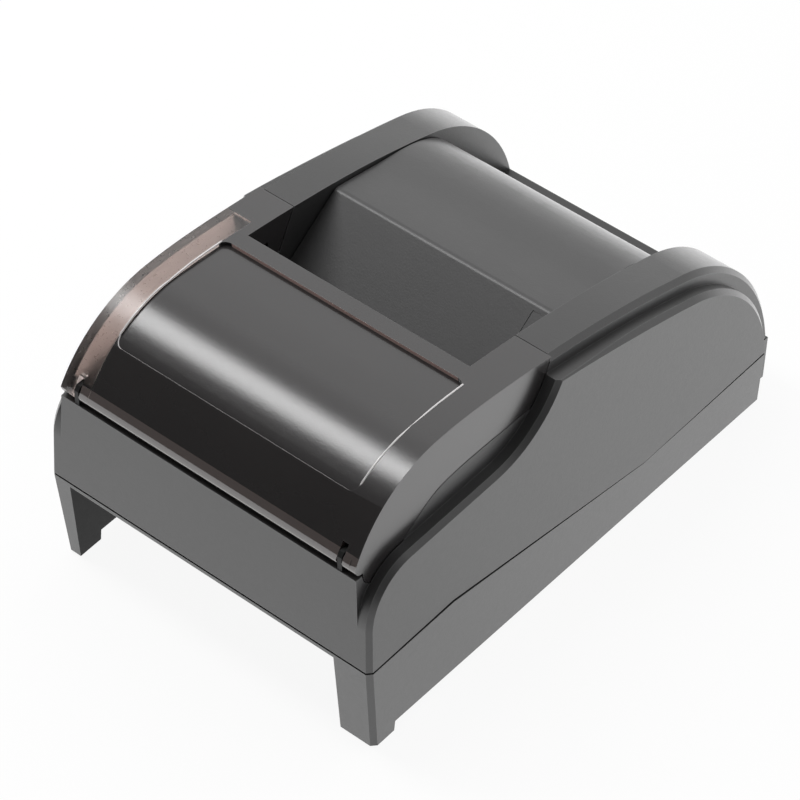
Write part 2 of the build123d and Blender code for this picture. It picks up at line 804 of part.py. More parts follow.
with BuildPart() as bin_lid:
    add(lid_block.part)
    with BuildPart(mode=Mode.PRIVATE) as lid_hollow:
        with BuildSketch(Plane.YZ):
            with BuildLine():
                Polyline(
                    side(88.2, 66.6),
                    side(LID_CREASE[0] + 0.4, LID_CREASE[1] - LID_WALL - 0.4),
                )
                Spline(
                    side(LID_CREASE[0] + 0.4, LID_CREASE[1] - LID_WALL - 0.4),
                    side(back(61.9), 76.8),
                    side(back(42.6), 71.9),
                    side(back(33.1), 65.0),
                    side(back(26.8), 50.0),
                    side(back(24.8), 37.0),
                    tangents=[(1, -0.17), (-0.02, -1)],
                )
                Polyline(
                    side(back(24.8), 37.0),
                    side(back(24.8), 20),
                    side(88.2, 20),
                    side(88.2, 66.6),
                )
            make_face()
        extrude(amount=WELL_HALF - LID_GAP - LID_WALL, both=True)
    add(lid_hollow.part, mode=Mode.SUBTRACT)
    # Strips down the sides of the slope, stopping short of the crease
    along = (LID_CREASE[0] - LID_TIP[0], LID_CREASE[1] - LID_TIP[1])
    slope = Plane(
        origin=(0, LID_TIP[0] - DEPTH / 2, LID_TIP[1]),
        x_dir=(1, 0, 0),
        z_dir=(0, along[0], along[1]),
    )
    with BuildPart(mode=Mode.PRIVATE) as strip:
        with BuildSketch(slope.offset(-2)):
            with BuildLine():
                Polyline(
                    (STRIP_EDGE, -2),
                    (STRIP_EDGE, STRIP_DEPTH),
                    (WELL_HALF - LID_GAP, 0),
                    (WELL_HALF, 0),
                    (WELL_HALF, -2),
                    close=True,
                )
            make_face()
        extrude(amount=math.hypot(along[0], along[1]) - 0.3)
    add(pair(strip.part), mode=Mode.SUBTRACT)
    # Bosses on the hinge line
    add(pair(rod(LID_HINGE, 4.4, WELL_HALF - 6.7, WELL_HALF - LID_GAP)))
    arm = [(back(32), 37), (back(32), 52), (back(25), 52), (back(24.3), 37)]
    add(pair(side_plate(arm, WELL_HALF - 5.1, WELL_HALF - LID_GAP - 0.2)))
    # Ears that carry the roller's bushes
    lid_ear = [
        (86.0, 67.0),
        (100.0, 75.4),
        (100.0, 70.0),
        (84.0, 55.0),
        (77.6, 53.6),
        (73.2, 56.4),
        (72.4, 61.0),
        (74.4, 65.6),
        (80.5, 67.0),
    ]
    add(pair(side_plate(lid_ear, 31.2, 34.2)))
    add(pair(rod(PLATEN, BUSH_RADIUS, 30, 36)), mode=Mode.SUBTRACT)
    add(pair(rod(LID_HINGE, LID_PIN_RADIUS + RUNNING_FIT, WELL_HALF - 8, WELL_HALF)), mode=Mode.SUBTRACT)
finish(bin_lid, "bin_lid")

with BuildPart() as lid_hinge_pins:
    add(pair(rod(LID_HINGE, LID_PIN_RADIUS, WELL_HALF - 6.7, WELL_HALF + 2.2)))
finish(lid_hinge_pins, "lid_hinge_pins")

# Paper bin: a trough for the roll between two walls, with a flange and a front guide
with BuildPart() as paper_bin:
    with BuildSketch(Plane.YZ):
        with BuildLine():
            outer = ROLL_RADIUS + BIN_WALL
            low_front = polar(BIN_AXIS, outer, 196)
            low_rear = polar(BIN_AXIS, outer, 338)
            high_front = polar(BIN_AXIS, ROLL_RADIUS, 196)
            high_rear = polar(BIN_AXIS, ROLL_RADIUS, 338)
            ThreePointArc(side(*low_front), side(*polar(BIN_AXIS, outer, 267)), side(*low_rear))
            Line(side(*low_rear), side(*high_rear))
            ThreePointArc(side(*high_rear), side(*polar(BIN_AXIS, ROLL_RADIUS, 267)), side(*high_front))
            Polyline(
                side(*high_front),
                side(87.6, 54.6),
                side(86.2, 53.2),
                side(*low_front),
            )
        make_face()
    extrude(amount=BIN_HALF + BIN_WALL, both=True)
    wall = [
        (97.3, 43.5),
        (96.4, 50.0),
        (100.0, 58.0),
        (146.0, 58.0),
        (152.3, 44.0),
        (151.5, 39.0),
        (146.0, 30.5),
        (139.0, 25.6),
        (131.0, 22.6),
        (119.0, 22.6),
        (111.0, 25.6),
        (104.0, 31.0),
        (99.5, 37.0),
    ]
    add(pair(side_plate(wall, BIN_HALF, BIN_HALF + BIN_WALL)))
    add(pair(box((BIN_HALF, 100, 56), (WELL_HALF - 0.3, 144, 58))))
finish(paper_bin, "paper_bin")

# Print mechanism: a folded sheet frame with slots that let the roller lift out
IDLER = polar(PLATEN, (PLATEN_TEETH + IDLER_TEETH) / 2 * GEAR_MODULE + 0.08, 225.3)
PINION = polar(IDLER, (IDLER_TEETH + PINION_TEETH) / 2 * GEAR_MODULE + 0.08, 225.3)

with BuildPart() as mechanism_frame:
    add(box((-FRAME_HALF, 50, 35.4), (FRAME_HALF, 94, 36.8)))
    plate = [
        (50, 35.4),
        (94, 35.4),
        (94, 40),
        (86, 52),
        (84.5, 63.4),
        (80.8, 64.6),
        (74.6, 63.4),
        (68.0, 70.5),
        (62.6, 70.5),
        (50, 52.6),
    ]
    add(pair(side_plate(plate, FRAME_HALF - FRAME_SHEET, FRAME_HALF)))
    add(box((-FRAME_HALF, 62.6, 36.8), (FRAME_HALF, 64.0, 70.5)))
    # Slots that open upwards along the lid's own swing
    with BuildPart(mode=Mode.PRIVATE) as slot:
        add(pair(rod(PLATEN, SHAFT_RADIUS + 0.4, 30, 40)))
        rise_y = 12 * 0.24
        rise_z = 12 * 0.97
        wide = SHAFT_RADIUS + 0.4
        slot_line = [
            (PLATEN[0] - wide * 0.97, PLATEN[1] + wide * 0.24),
            (PLATEN[0] + wide * 0.97, PLATEN[1] - wide * 0.24),
            (PLATEN[0] + wide * 0.97 + rise_y + 1.0, PLATEN[1] - wide * 0.24 + rise_z),
            (PLATEN[0] - wide * 0.97 + rise_y - 1.0, PLATEN[1] + wide * 0.24 + rise_z),
        ]
        add(pair(side_plate(slot_line, 30, 40)))
    add(slot.part, mode=Mode.SUBTRACT)
    # Openings for the motor, its boss, the head cable and the screws
    add(box((16.8, 47, 30), (FRAME_HALF - FRAME_SHEET, 71.4, 37)), mode=Mode.SUBTRACT)
    add(box((16.8, 60, 36), (FRAME_HALF - FRAME_SHEET, 66, 52.4)), mode=Mode.SUBTRACT)
    add(pair(box((7.4, 60, 36.8), (15.6, 66, 47.6))), mode=Mode.SUBTRACT)
    add(rod(PINION, 3.2, 30, 40), mode=Mode.SUBTRACT)
    add(rod(IDLER, 1.5, 30, 40), mode=Mode.SUBTRACT)
    add(box((-7, 65.4, 30), (7, 68.4, 40)), mode=Mode.SUBTRACT)
    for x, y in POSTS:
        add(column(x, y, 1.4, 30, 40), mode=Mode.SUBTRACT)
    add(pair(rod(HEAD_PIVOT, 1.25, 30, 40)), mode=Mode.SUBTRACT)
finish(mechanism_frame, "mechanism_frame")

with BuildPart() as head_pivot_pin:
    add(rod(HEAD_PIVOT, 1.25, -FRAME_HALF, FRAME_HALF))
finish(head_pivot_pin, "head_pivot_pin")

# Print head: a ceramic strip on a metal carrier that swings about its pivot
with BuildPart() as print_head:
    add(box((-PAPER_WIDTH / 2, 71.1, 55.5), (PAPER_WIDTH / 2, 72.0, 65.5)))
finish(print_head, "print_head")

with BuildPart() as head_sink:
    add(box((-30, 69.0, 50.5), (30, 71.1, 67.5)))
    add(box((-30, 67.6, 44.5), (30, 71.4, 50.5)))
    add(pair(box((8, 58.0, 44.5), (15, 68.0, 46.0))))
    add(box((-7.5, 66.0, 43), (7.5, 68.6, 60)), mode=Mode.SUBTRACT)
    add(box((16, 66.0, 43), (31, 68.95, 60)), mode=Mode.SUBTRACT)
    add(rod(HEAD_PIVOT, 1.25 + RUNNING_FIT, -40, 40), mode=Mode.SUBTRACT)
finish(head_sink, "head_sink")

# Springs under the carrier's forward arms press the head against the roller
with BuildPart() as head_springs:
    for x in (-11.5, 11.5):
        add(column(x, 60.6, 2.5, 36.8, 44.5))
        add(column(x, 60.6, 1.9, 30, 50), mode=Mode.SUBTRACT)
finish(head_springs, "head_springs")

with BuildPart() as head_cable:
    cable = [
        (67.0, 56.0),
        (67.3, 56.0),
        (67.3, 36.0),
        (71.0, 30.0),
        (BOARD_FRONT + 3.0, 27.0),
        (BOARD_FRONT + 8.3, 22.0),
        (BOARD_FRONT + 8.3, 15.2),
        (BOARD_FRONT + 8.0, 15.2),
        (BOARD_FRONT + 8.0, 21.9),
        (BOARD_FRONT + 2.9, 26.7),
        (70.9, 29.7),
        (67.0, 36.0),
    ]
    add(side_prism(cable, 5.5))
finish(head_cable, "head_cable")

# Platen roller on its shaft, with two bushes and a gear
with BuildPart() as platen_roller:
    add(rod(PLATEN, PLATEN_RADIUS, -PAPER_WIDTH / 2, PAPER_WIDTH / 2))
    fillet(platen_roller.edges().filter_by(GeomType.CIRCLE), 0.4)
    add(rod(PLATEN, SHAFT_RADIUS, -30, 30), mode=Mode.SUBTRACT)
finish(platen_roller, "platen_roller")

with BuildPart() as platen_shaft:
    add(rod(PLATEN, SHAFT_RADIUS, -37.6, GEAR_X + GEAR_WIDTH + 0.5))
    chamfer(platen_shaft.edges().filter_by(GeomType.CIRCLE), 0.3)
finish(platen_shaft, "platen_shaft")

with BuildPart() as platen_bushes:
    for inner, outer in ((31.2, 34.2), (-34.2, -31.2)):
        add(rod(PLATEN, BUSH_RADIUS, inner, outer))
    for inner, outer in ((30.4, 31.2), (-31.2, -30.4)):
        add(rod(PLATEN, BUSH_RADIUS + 0.8, inner, outer))
    add(rod(PLATEN, SHAFT_RADIUS + RUNNING_FIT, -40, 40), mode=Mode.SUBTRACT)
finish(platen_bushes, "platen_bushes")


def gear_points(centre, teeth, first):
    """Corners of a spur gear with straight-flanked teeth; one tooth points to first."""
    pitch = teeth * GEAR_MODULE / 2
    half = (math.pi * GEAR_MODULE / 2 - BACKLASH) / 2
    flank = math.tan(math.radians(20))
    tip = pitch + 0.85 * GEAR_MODULE
    root = pitch - 1.2 * GEAR_MODULE
    tip_turn = math.degrees((half - 0.85 * GEAR_MODULE * flank) / tip)
    root_turn = math.degrees((half + 1.2 * GEAR_MODULE * flank) / root)
    corners = []
    for index in range(teeth):
        middle = first + 360 / teeth * index
        corners.append(polar(centre, root, middle - root_turn))
        corners.append(polar(centre, tip, middle - tip_turn))
        corners.append(polar(centre, tip, middle + tip_turn))
        corners.append(polar(centre, root, middle + root_turn))
    return corners


def gear(centre, teeth, first):
    """A spur gear across the gear plane."""
    return side_plate(gear_points(centre, teeth, first), GEAR_X, GEAR_X + GEAR_WIDTH)


with BuildPart() as platen_gear:
    add(gear(PLATEN, PLATEN_TEETH, 225.3))
    add(rod(PLATEN, 3.4, GEAR_X - 1.2, GEAR_X))
    add(rod(PLATEN, SHAFT_RADIUS, 30, 50), mode=Mode.SUBTRACT)
finish(platen_gear, "platen_gear")

# Idler gear on its stud
idler_turn = 360 / IDLER_TEETH / 2
with BuildPart() as idler_gear:
    add(gear(IDLER, IDLER_TEETH, 45.3 + idler_turn))
    add(rod(IDLER, 7.0, GEAR_X + GEAR_WIDTH - 1.0, 50), mode=Mode.SUBTRACT)
    add(rod(IDLER, 3.2, GEAR_X, GEAR_X + GEAR_WIDTH))
    add(rod(IDLER, 1.5 + RUNNING_FIT, 30, 50), mode=Mode.SUBTRACT)
finish(idler_gear, "idler_gear")

with BuildPart() as idler_stud:
    add(rod(IDLER, 1.5, FRAME_HALF - FRAME_SHEET, 43.4))
    add(rod(IDLER, 2.6, FRAME_HALF, GEAR_X - 0.3))
    add(rod(IDLER, 2.4, GEAR_X + GEAR_WIDTH + 0.2, 43.4))
finish(idler_stud, "idler_stud")

# Stepper motor with its pinion
with BuildPart() as stepper_motor:
    add(rod(PINION, MOTOR_RADIUS, 19.0, FRAME_HALF - FRAME_SHEET))
    fillet(stepper_motor.edges().filter_by(GeomType.CIRCLE).sort_by(Axis.X)[:1], 1.2)
    add(rod(PINION, 3.1, FRAME_HALF - FRAME_SHEET, FRAME_HALF + 0.4))
    lug = [
        (PINION[0] - 9.0, PINION[1] + 9.0),
        (PINION[0] - 12.4, PINION[1] + 5.6),
        (PINION[0] + 9.0, PINION[1] - 15.0),
        (PINION[0] + 12.4, PINION[1] - 5.6),
    ]
    add(side_plate(lug, FRAME_HALF - FRAME_SHEET - 1.0, FRAME_HALF - FRAME_SHEET))
    add(rod(PINION, 1.0 + RUNNING_FIT, 30, 40), mode=Mode.SUBTRACT)
finish(stepper_motor, "stepper_motor")

with BuildPart() as motor_pinion:
    add(gear(PINION, PINION_TEETH, 45.3))
    add(rod(PINION, 1.0, 31.0, GEAR_X + 1))
finish(motor_pinion, "motor_pinion")

# Tear bar with a saw-toothed edge
with BuildPart() as tear_bar:
    blade = [(64.0, 60), (64.8, 60), (64.8, 70.8), (69.2, 74.4), (68.6, 75.1), (64.0, 71.3)]
    add(side_prism(blade, 30))
    with BuildPart(mode=Mode.SUBTRACT) as teeth:
        with BuildSketch(Plane.XY.offset(70)):
            for index in range(-20, 20):
                x = index * 1.5
                with BuildLine():
                    Polyline(
                        (x, 69.4 - DEPTH / 2),
                        (x + 0.75, 68.2 - DEPTH / 2),
                        (x + 1.5, 69.4 - DEPTH / 2),
                        close=True,
                    )
                make_face()
        extrude(amount=10)
finish(tear_bar, "tear_bar")

# Sensors: paper under the guide, lid beside the frame
with BuildPart() as paper_sensor:
    add(box((-5, 87, 36.8), (5, 93, 44)))
    add(box((-3.5, 88.5, 44), (3.5, 91.5, 47.5)))
finish(paper_sensor, "paper_sensor")

with BuildPart() as lid_sensor:
    add(box((-41.8, 66, 40.0), (-FRAME_HALF, 79, 46.5)))
    add(side_plate([(66.5, 46.5), (67.5, 46.5), (78.5, 49.0), (78.5, 49.5), (66.5, 47.3)], -40.5, -38.0))
finish(lid_sensor, "lid_sensor")

# Main board with its parts, screws and sockets
with BuildPart() as main_board:
    add(box((-47, BOARD_FRONT, BOARD_BOTTOM), (24, back(5.7), BOARD_TOP)))
    for x, y in BOARD_SPOTS:
        add(column(x, y, 1.5, 5, 15), mode=Mode.SUBTRACT)
finish(main_board, "main_board")

# Blocks on the board: left and right, front and rear from the board's front edge, height
CHIPS = [
    (-18, -6, 30, 42, 1.4),
    (-34, -26, 16, 22, 1.6),
    (6, 12, 44, 52, 1.6),
    (-40, -30, 44, 52, 3.0),
    (-7, 7, 5.4, 7.6, 4.0),
    (-7, 7, 7.6, 8.6, 2.0),
    (10, 16, 10, 14, 5.0),
]
with BuildPart() as board_chips:
    for left, right, front, rear, tall in CHIPS:
        add(box((left, BOARD_FRONT + front, BOARD_TOP), (right, BOARD_FRONT + rear, BOARD_TOP + tall)))
    for x in (-26, -10, 2):
        add(column(x, BOARD_FRONT + 64, 3.0, BOARD_TOP, BOARD_TOP + 7))
finish(board_chips, "board_chips")

with BuildPart() as board_screws:
    for x, y in BOARD_SPOTS:
        add(column(x, y, 1.0, 6.2, BOARD_TOP))
        add(column(x, y, 2.2, BOARD_TOP, BOARD_TOP + 1.4))
        add(box((x - 1.6, y - 0.25, BOARD_TOP + 0.9), (x + 1.6, y + 0.25, 20)), mode=Mode.SUBTRACT)
finish(board_screws, "board_screws")

with BuildPart() as usb_socket:
    add(box((-36, back(19.9), BOARD_TOP), (-24, back(3.7), 22.1)))
    with BuildPart(mode=Mode.SUBTRACT) as usb_mouth:
        add(box((-34.2, back(12.9), 12.6), (-25.8, back(1.5), 20.4)))
        add(box((-32.8, back(21.5), 14.9), (-27.2, back(4.5), 18.1)), mode=Mode.SUBTRACT)
finish(usb_socket, "usb_socket")

with BuildPart() as power_jack:
    add(box((-14, back(17.9), BOARD_TOP), (-5, back(3.7), 22.1)))
    with BuildPart(mode=Mode.SUBTRACT) as jack_mouth:
        with BuildSketch(Plane.XZ.offset(3.5 - DEPTH / 2)):
            with Locations((-9.5, 16.6)):
                Circle(3.4)
                Circle(1.0, mode=Mode.SUBTRACT)
        extrude(amount=10)
finish(power_jack, "power_jack")

with BuildPart() as drawer_socket:
    add(box((2, back(19.9), BOARD_TOP), (16, back(3.7), 24.1)))
    with BuildPart(mode=Mode.SUBTRACT) as drawer_mouth:
        add(box((4, back(12.9), 13.0), (14, back(1.5), 19.6)))
        add(box((6.2, back(12.9), 19.0), (11.8, back(1.5), 22.2)))
finish(drawer_socket, "drawer_socket")

# Rocker switch beside the sockets
ROCKER = (34.0, DEPTH - 4.5)
with BuildPart() as power_switch:
    add(box((25.3, back(18.5), 10.8), (42.7, back(3.1), 23.2)))
    add(box((24.1, back(3.1), 9.6), (43.9, back(2.1), 24.4)))
    add(box((26.1, back(8.3), 12.2), (41.9, back(-3.5), 21.8)), mode=Mode.SUBTRACT)
    add(column(ROCKER[0], ROCKER[1], 1.05, 11.2, 22.8), mode=Mode.SUBTRACT)
    for x in (28.5, 34, 39.5):
        add(box((x - 2.4, back(25.5), 16.6), (x + 2.4, back(18.5), 17.4)))
finish(power_switch, "power_switch")

with BuildPart() as power_rocker:
    with BuildSketch(Plane.XY.offset(12.6)):
        with BuildLine():
            face = [(-7.3, 0.9), (-7.3, 3.0), (0, 2.2), (7.3, 3.0), (7.3, 0.9), (3, -2.4), (-3, -2.4)]
            turn = math.radians(-8)
            turned = [
                (
                    ROCKER[0] + x * math.cos(turn) - y * math.sin(turn),
                    ROCKER[1] - DEPTH / 2 + x * math.sin(turn) + y * math.cos(turn),
                )
                for x, y in face
            ]
            Polyline(*turned, close=True)
        make_face()
    extrude(amount=8.8)
    add(column(ROCKER[0], ROCKER[1], 1.0, 11.4, 22.6))
finish(power_rocker, "power_rocker")

# Feed button in the left cheek, with its switch, board and lamps
with BuildPart() as feed_button:
    add(rod(BUTTON, 4.5, 0.4 - HALF_WIDTH, 4.2 - HALF_WIDTH))
    fillet(feed_button.edges().filter_by(GeomType.CIRCLE).sort_by(Axis.X)[:1], 0.8)
    add(rod(BUTTON, 5.6, 3.8 - HALF_WIDTH, 4.8 - HALF_WIDTH))
    add(rod(BUTTON, 1.8, 4.8 - HALF_WIDTH, 6.6 - HALF_WIDTH))
finish(feed_button, "feed_button")

with BuildPart() as feed_switch:
    add(box((8.0 - HALF_WIDTH, 35, 51), (9.8 - HALF_WIDTH, 41, 57)))
finish(feed_switch, "feed_switch")

with BuildPart() as button_board:
    add(box((9.8 - HALF_WIDTH, 28.0, 49), (11.4 - HALF_WIDTH, 64.0, 59)))
finish(button_board, "button_board")

with BuildPart() as indicator_lights:
    for y in LAMPS:
        add(rod((y, BUTTON[1]), 1.5, 1.0 - HALF_WIDTH, 7.5 - HALF_WIDTH))
        add(rod((y, BUTTON[1]), 2.0, 4.5 - HALF_WIDTH, 9.8 - HALF_WIDTH))
finish(indicator_lights, "indicator_lights")

# Screws and feet
with BuildPart() as housing_screws:
    for (x, y), top in zip(SCREW_SPOTS, SCREW_TOPS):
        add(pair(column(x, y, 1.5, 12, top)))
        add(pair(column(x, y, 2.5, 10, 12)))
        for wide, long in ((1.8, 0.3), (0.3, 1.8)):
            slot = box((x - wide, y - long, 5), (x + wide, y + long, 10.8))
            add(pair(slot), mode=Mode.SUBTRACT)
finish(housing_screws, "housing_screws")

with BuildPart() as mechanism_screws:
    for x, y in POSTS:
        add(column(x, y, 1.2, 24, 36.8))
        add(column(x, y, 2.3, 36.8, 38.2))
        add(box((x - 1.6, y - 0.25, 37.6), (x + 1.6, y + 0.25, 45)), mode=Mode.SUBTRACT)
finish(mechanism_screws, "mechanism_screws")

with BuildPart() as foot_pads:
    for x, y, wide, long in PADS:
        add(box((x - wide / 2, y - long / 2, 0), (x + wide / 2, y + long / 2, 1.2)))
finish(foot_pads, "foot_pads")
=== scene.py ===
"""Looks for a desktop thermal receipt printer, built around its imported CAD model."""

import json
import math

import bmesh
import bpy
from mathutils import Matrix, Vector


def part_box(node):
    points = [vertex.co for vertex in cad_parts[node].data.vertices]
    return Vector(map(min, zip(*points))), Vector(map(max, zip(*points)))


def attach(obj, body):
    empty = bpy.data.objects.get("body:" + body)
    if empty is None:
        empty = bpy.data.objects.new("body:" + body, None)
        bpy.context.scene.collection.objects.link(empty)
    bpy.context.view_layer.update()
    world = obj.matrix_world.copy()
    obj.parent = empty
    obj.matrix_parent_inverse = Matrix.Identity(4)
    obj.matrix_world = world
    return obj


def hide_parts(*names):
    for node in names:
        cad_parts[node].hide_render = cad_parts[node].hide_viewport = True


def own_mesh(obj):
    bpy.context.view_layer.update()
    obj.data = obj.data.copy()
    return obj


bl_info = {
    "name": "Receipt printer looks",
    "version": (1, 0, 0),
    "blender": (4, 5, 0),
    "location": "View3D > Sidebar > Receipt printer",
    "description": "Soft-edged shells, finishes, fasteners and a studio for a receipt printer",
    "category": "Add Mesh",
}

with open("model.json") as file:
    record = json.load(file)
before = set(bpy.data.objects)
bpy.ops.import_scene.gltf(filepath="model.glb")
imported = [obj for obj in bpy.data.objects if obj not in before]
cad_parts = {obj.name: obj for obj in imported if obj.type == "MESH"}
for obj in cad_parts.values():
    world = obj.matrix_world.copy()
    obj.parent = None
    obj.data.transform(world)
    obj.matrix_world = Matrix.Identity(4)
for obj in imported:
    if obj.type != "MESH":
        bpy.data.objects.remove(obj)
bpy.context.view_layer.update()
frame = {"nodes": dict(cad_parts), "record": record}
NODES = frame["nodes"]
PLACES = {joint["name"]: joint["pos_m"] for joint in frame["record"]["behaviour"]["joints"]}
HINGE = PLACES["cover_hinge"]
MM = 0.001
WELD = 0.01 * MM
STRIP_EDGE = 36.7 * MM
PANEL_CORNER = 3 * MM
ABOVE_COVER = 120 * MM
BEYOND = -100 * MM
SEAM = 0.04 * MM
USB_TONGUE = (3.0 * MM, 1.9 * MM)
CONTACTS = 6
CONTACT_STEP = 1.27 * MM

# In degrees: faces that count as one and edges that are rounded
FACET_ANGLE = 0.3
EDGE_ANGLE = 28.0

# How far the lip's shading is turned upwards, and its steepest rise
LIP_TURN = 0.15
LIP_TOP = 0.6

# Boxes round faces that get painted shade or painted light of their own, from and to in millimetres along x,
# y and z
# The walls inside the arch under the printer, darkened with painted shade
ARCH_WALLS = ((56.5, 57.5), (-100, -40), (-1, 33.5))
# The hinge ears, darkened with painted shade
HINGE_EARS = ((50.5, 56.0), (-100, -83.5), (60, 100))
# The left rail's outer edge only, dulled so that its reflection is dimmed: painted shade
LEFT_RAIL_EDGE = ((-58.3, -55.5), (-100, 100), (77.5, 100))
# The rear wall of the panel's recess, lightened with painted light
PANEL_RECESS = ((-10, 10), (-29.9, -29.7), (0, 100))

# The floor and the lamp, in metres, and the share of the floor's light that is plain white
FLOOR_SIZE = 6.0
FLOOR_GLOW = 0.92
LAMP_SIZE = (0.31, 0.9)
LAMP_PLACE = Vector((-0.58, -0.10, 1.12))
LAMP_AIM = Vector((0, -0.05, 0.08))

# The camera's turn, rise and roll in degrees, its place in metres and its lens in millimetres
CAMERA_ANGLES = (44.1939, 46.4534, -4.1389)
CAMERA_PLACE = (0.618685, -0.644887, 0.970325)
CAMERA_LENS = 189.818


# Node tree helpers
def feed(tree, value, socket):
    """Set a socket to a plain value, or link it to another socket."""
    if isinstance(value, bpy.types.NodeSocket):
        tree.links.new(value, socket)
    else:
        socket.default_value = value


def add_node(tree, kind, **inputs):
    """A node whose inputs, given by name, are plain values or other sockets."""
    node = tree.nodes.new(kind)
    for name, value in inputs.items():
        feed(tree, value, node.inputs[name.replace("_", " ")])
    return node


def maths(tree, operation, *operands, clamp=False):
    """A math node whose operands are sockets or numbers."""
    node = tree.nodes.new("ShaderNodeMath")
    node.operation = operation
    node.use_clamp = clamp
    for socket, value in zip(node.inputs, operands):
        feed(tree, value, socket)
    return node.outputs[0]


def vector_maths(tree, operation, first, second):
    """A math node on two vectors."""
    node = tree.nodes.new("ShaderNodeVectorMath")
    node.operation = operation
    feed(tree, first, node.inputs[0])
    feed(tree, second, node.inputs[1])
    return node.outputs


def split_axes(tree, vector):
    """The parts of a vector, by the names of their axes."""
    return add_node(tree, "ShaderNodeSeparateXYZ", Vector=vector).outputs


def vector_of(tree, **parts):
    """A vector from its parts, where one that isn't given is zero."""
    return add_node(tree, "ShaderNodeCombineXYZ", **parts).outputs[0]


def blend(tree, share, first, second, kind="RGBA"):
    """A mix of two colours, or of two numbers."""
    # The mix node has the sockets for every kind of value side by side
    place, result = {"FLOAT": (2, 0), "RGBA": (6, 2)}[kind]
    node = tree.nodes.new("ShaderNodeMix")
    node.data_type = kind
    for index, value in ((0, share), (place, first), (place + 1, second)):
        feed(tree, value, node.inputs[index])
    return node.outputs[result]


def object_place(tree):
    """The object's own coordinates."""
    return tree.nodes.new("ShaderNodeTexCoord").outputs["Object"]


def noise(tree, scale, detail, roughness=0.5):
    """Noise in the object's own coordinates."""
    node = add_node(
        tree,
        "ShaderNodeTexNoise",
        Vector=object_place(tree),
        Scale=scale,
        Detail=detail,
        Roughness=roughness,
    )
    return node.outputs[0]


def name_socket(tree, label, value, side="INPUT"):
    """Give a group a named socket, whose kind is that of its value or is itself the value."""
    kinds = {float: "NodeSocketFloat", int: "NodeSocketInt", tuple: "NodeSocketVector"}
    socket = tree.interface.new_socket(label, in_out=side, socket_type=kinds.get(type(value), value))
    if type(value) in kinds:
        socket.default_value = value


def shader_group(name, inputs, outputs):
    """An empty shader group, the sockets of its inputs and those of its outputs."""
    group = bpy.data.node_groups.new(name, "ShaderNodeTree")
    for label, value in inputs.items():
        name_socket(group, label, value)
    for label in outputs:
        name_socket(group, label, 0.0, "OUTPUT")
    given = group.nodes.new("NodeGroupInput").outputs
    return group, given, group.nodes.new("NodeGroupOutput").inputs


# Shared surface effects
def moulded_grain_group():
    """Spark-eroded mould grain: a height, and a mask of its hollows."""
    group, given, result = shader_group("Moulded grain", {"Size": 0.4 * MM}, ("Height", "Hollows"))
    scale = maths(group, "DIVIDE", 1.0, given["Size"])
    fine = noise(group, scale, 2.0, 0.6)
    coarse = noise(group, maths(group, "MULTIPLY", scale, 0.28), 1.0)
    both = maths(group, "ADD", fine, maths(group, "MULTIPLY", coarse, 0.5))
    feed(group, both, result["Height"])
    feed(group, maths(group, "SUBTRACT", 1.1, both, clamp=True), result["Hollows"])
    return group


def edge_wear_and_highlight_group():
    """A mask for worn edges, which also carries a painted highlight along them."""
    group, given, result = shader_group("Worn and lit edges", {"Width": 0.6 * MM, "Amount": 0.5}, ("Edges",))
    rounded = add_node(group, "ShaderNodeBevel", Radius=given["Width"])
    rounded.samples = 4
    true = group.nodes.new("ShaderNodeNewGeometry").outputs["Normal"]
    alike = vector_maths(group, "DOT_PRODUCT", rounded.outputs["Normal"], true)["Value"]
    bend = maths(group, "SUBTRACT", 1.0, alike, clamp=True)
    sharp = maths(group, "MULTIPLY", bend, 6.0, clamp=True)
    broken = maths(group, "MULTIPLY", sharp, noise(group, 120.0, 3.0))
    feed(group, maths(group, "MULTIPLY", broken, given["Amount"]), result["Edges"])
    return group


def dust_group():
    """A faint film of dust that lies on faces turned upwards."""
    group, given, result = shader_group("Settled dust", {"Amount": 0.05, "Patch size": 0.03}, ("Dust",))
    true = group.nodes.new("ShaderNodeNewGeometry").outputs["Normal"]
    upward = maths(group, "MULTIPLY", split_axes(group, true)["Z"], 1.0, clamp=True)
    cloud = noise(group, maths(group, "DIVIDE", 1.0, given["Patch size"]), 4.0, 0.65)
    film = maths(group, "MULTIPLY", upward, cloud)
    feed(group, maths(group, "MULTIPLY", film, given["Amount"]), result["Dust"])
    return group


def brushed_group():
    """Fine parallel rolling marks along one axis."""
    group, given, result = shader_group("Rolling marks", {"Across": (4000.0, 60.0, 4000.0)}, ("Marks",))
    stretched = vector_maths(group, "MULTIPLY", object_place(group), given["Across"])[0]
    streaks = add_node(group, "ShaderNodeTexNoise", Vector=stretched, Scale=1.0, Detail=2.0)
    feed(group, streaks.outputs[0], result["Marks"])
    return group


GROUPS = {}


def shared(name):
    """The shared shader group of that name, made on first use."""
    makers = {
        "grain": moulded_grain_group,
        "wear_and_highlight": edge_wear_and_highlight_group,
        "dust": dust_group,
        "brushed": brushed_group,
    }
    if name not in GROUPS:
        GROUPS[name] = makers[name]()
    return GROUPS[name]


def place_group(tree, name, **inputs):
    """The outputs of a shared group that is put in a material with its own values."""
    node = tree.nodes.new("ShaderNodeGroup")
    node.node_tree = shared(name)
    for label, value in inputs.items():
        feed(tree, value, node.inputs[label.replace("_", " ")])
    return node.outputs


def opaque(colour, share=1.0):
    """A colour, or a share of it, with full alpha."""
    return (*(share * part for part in colour), 1.0)


def new_material(name, colour, roughness, **sockets):
    """A material with a Principled shader whose plain sockets are set."""
    material = bpy.data.materials.new(name)
    material.use_nodes = True
    material.diffuse_color = opaque(colour)
    tree = material.node_tree
    shader = tree.nodes["Principled BSDF"]
    for label, value in {"Base Color": opaque(colour), "Roughness": roughness, **sockets}.items():
        feed(tree, value, shader.inputs[label.replace("_", " ")])
    return material, tree, shader


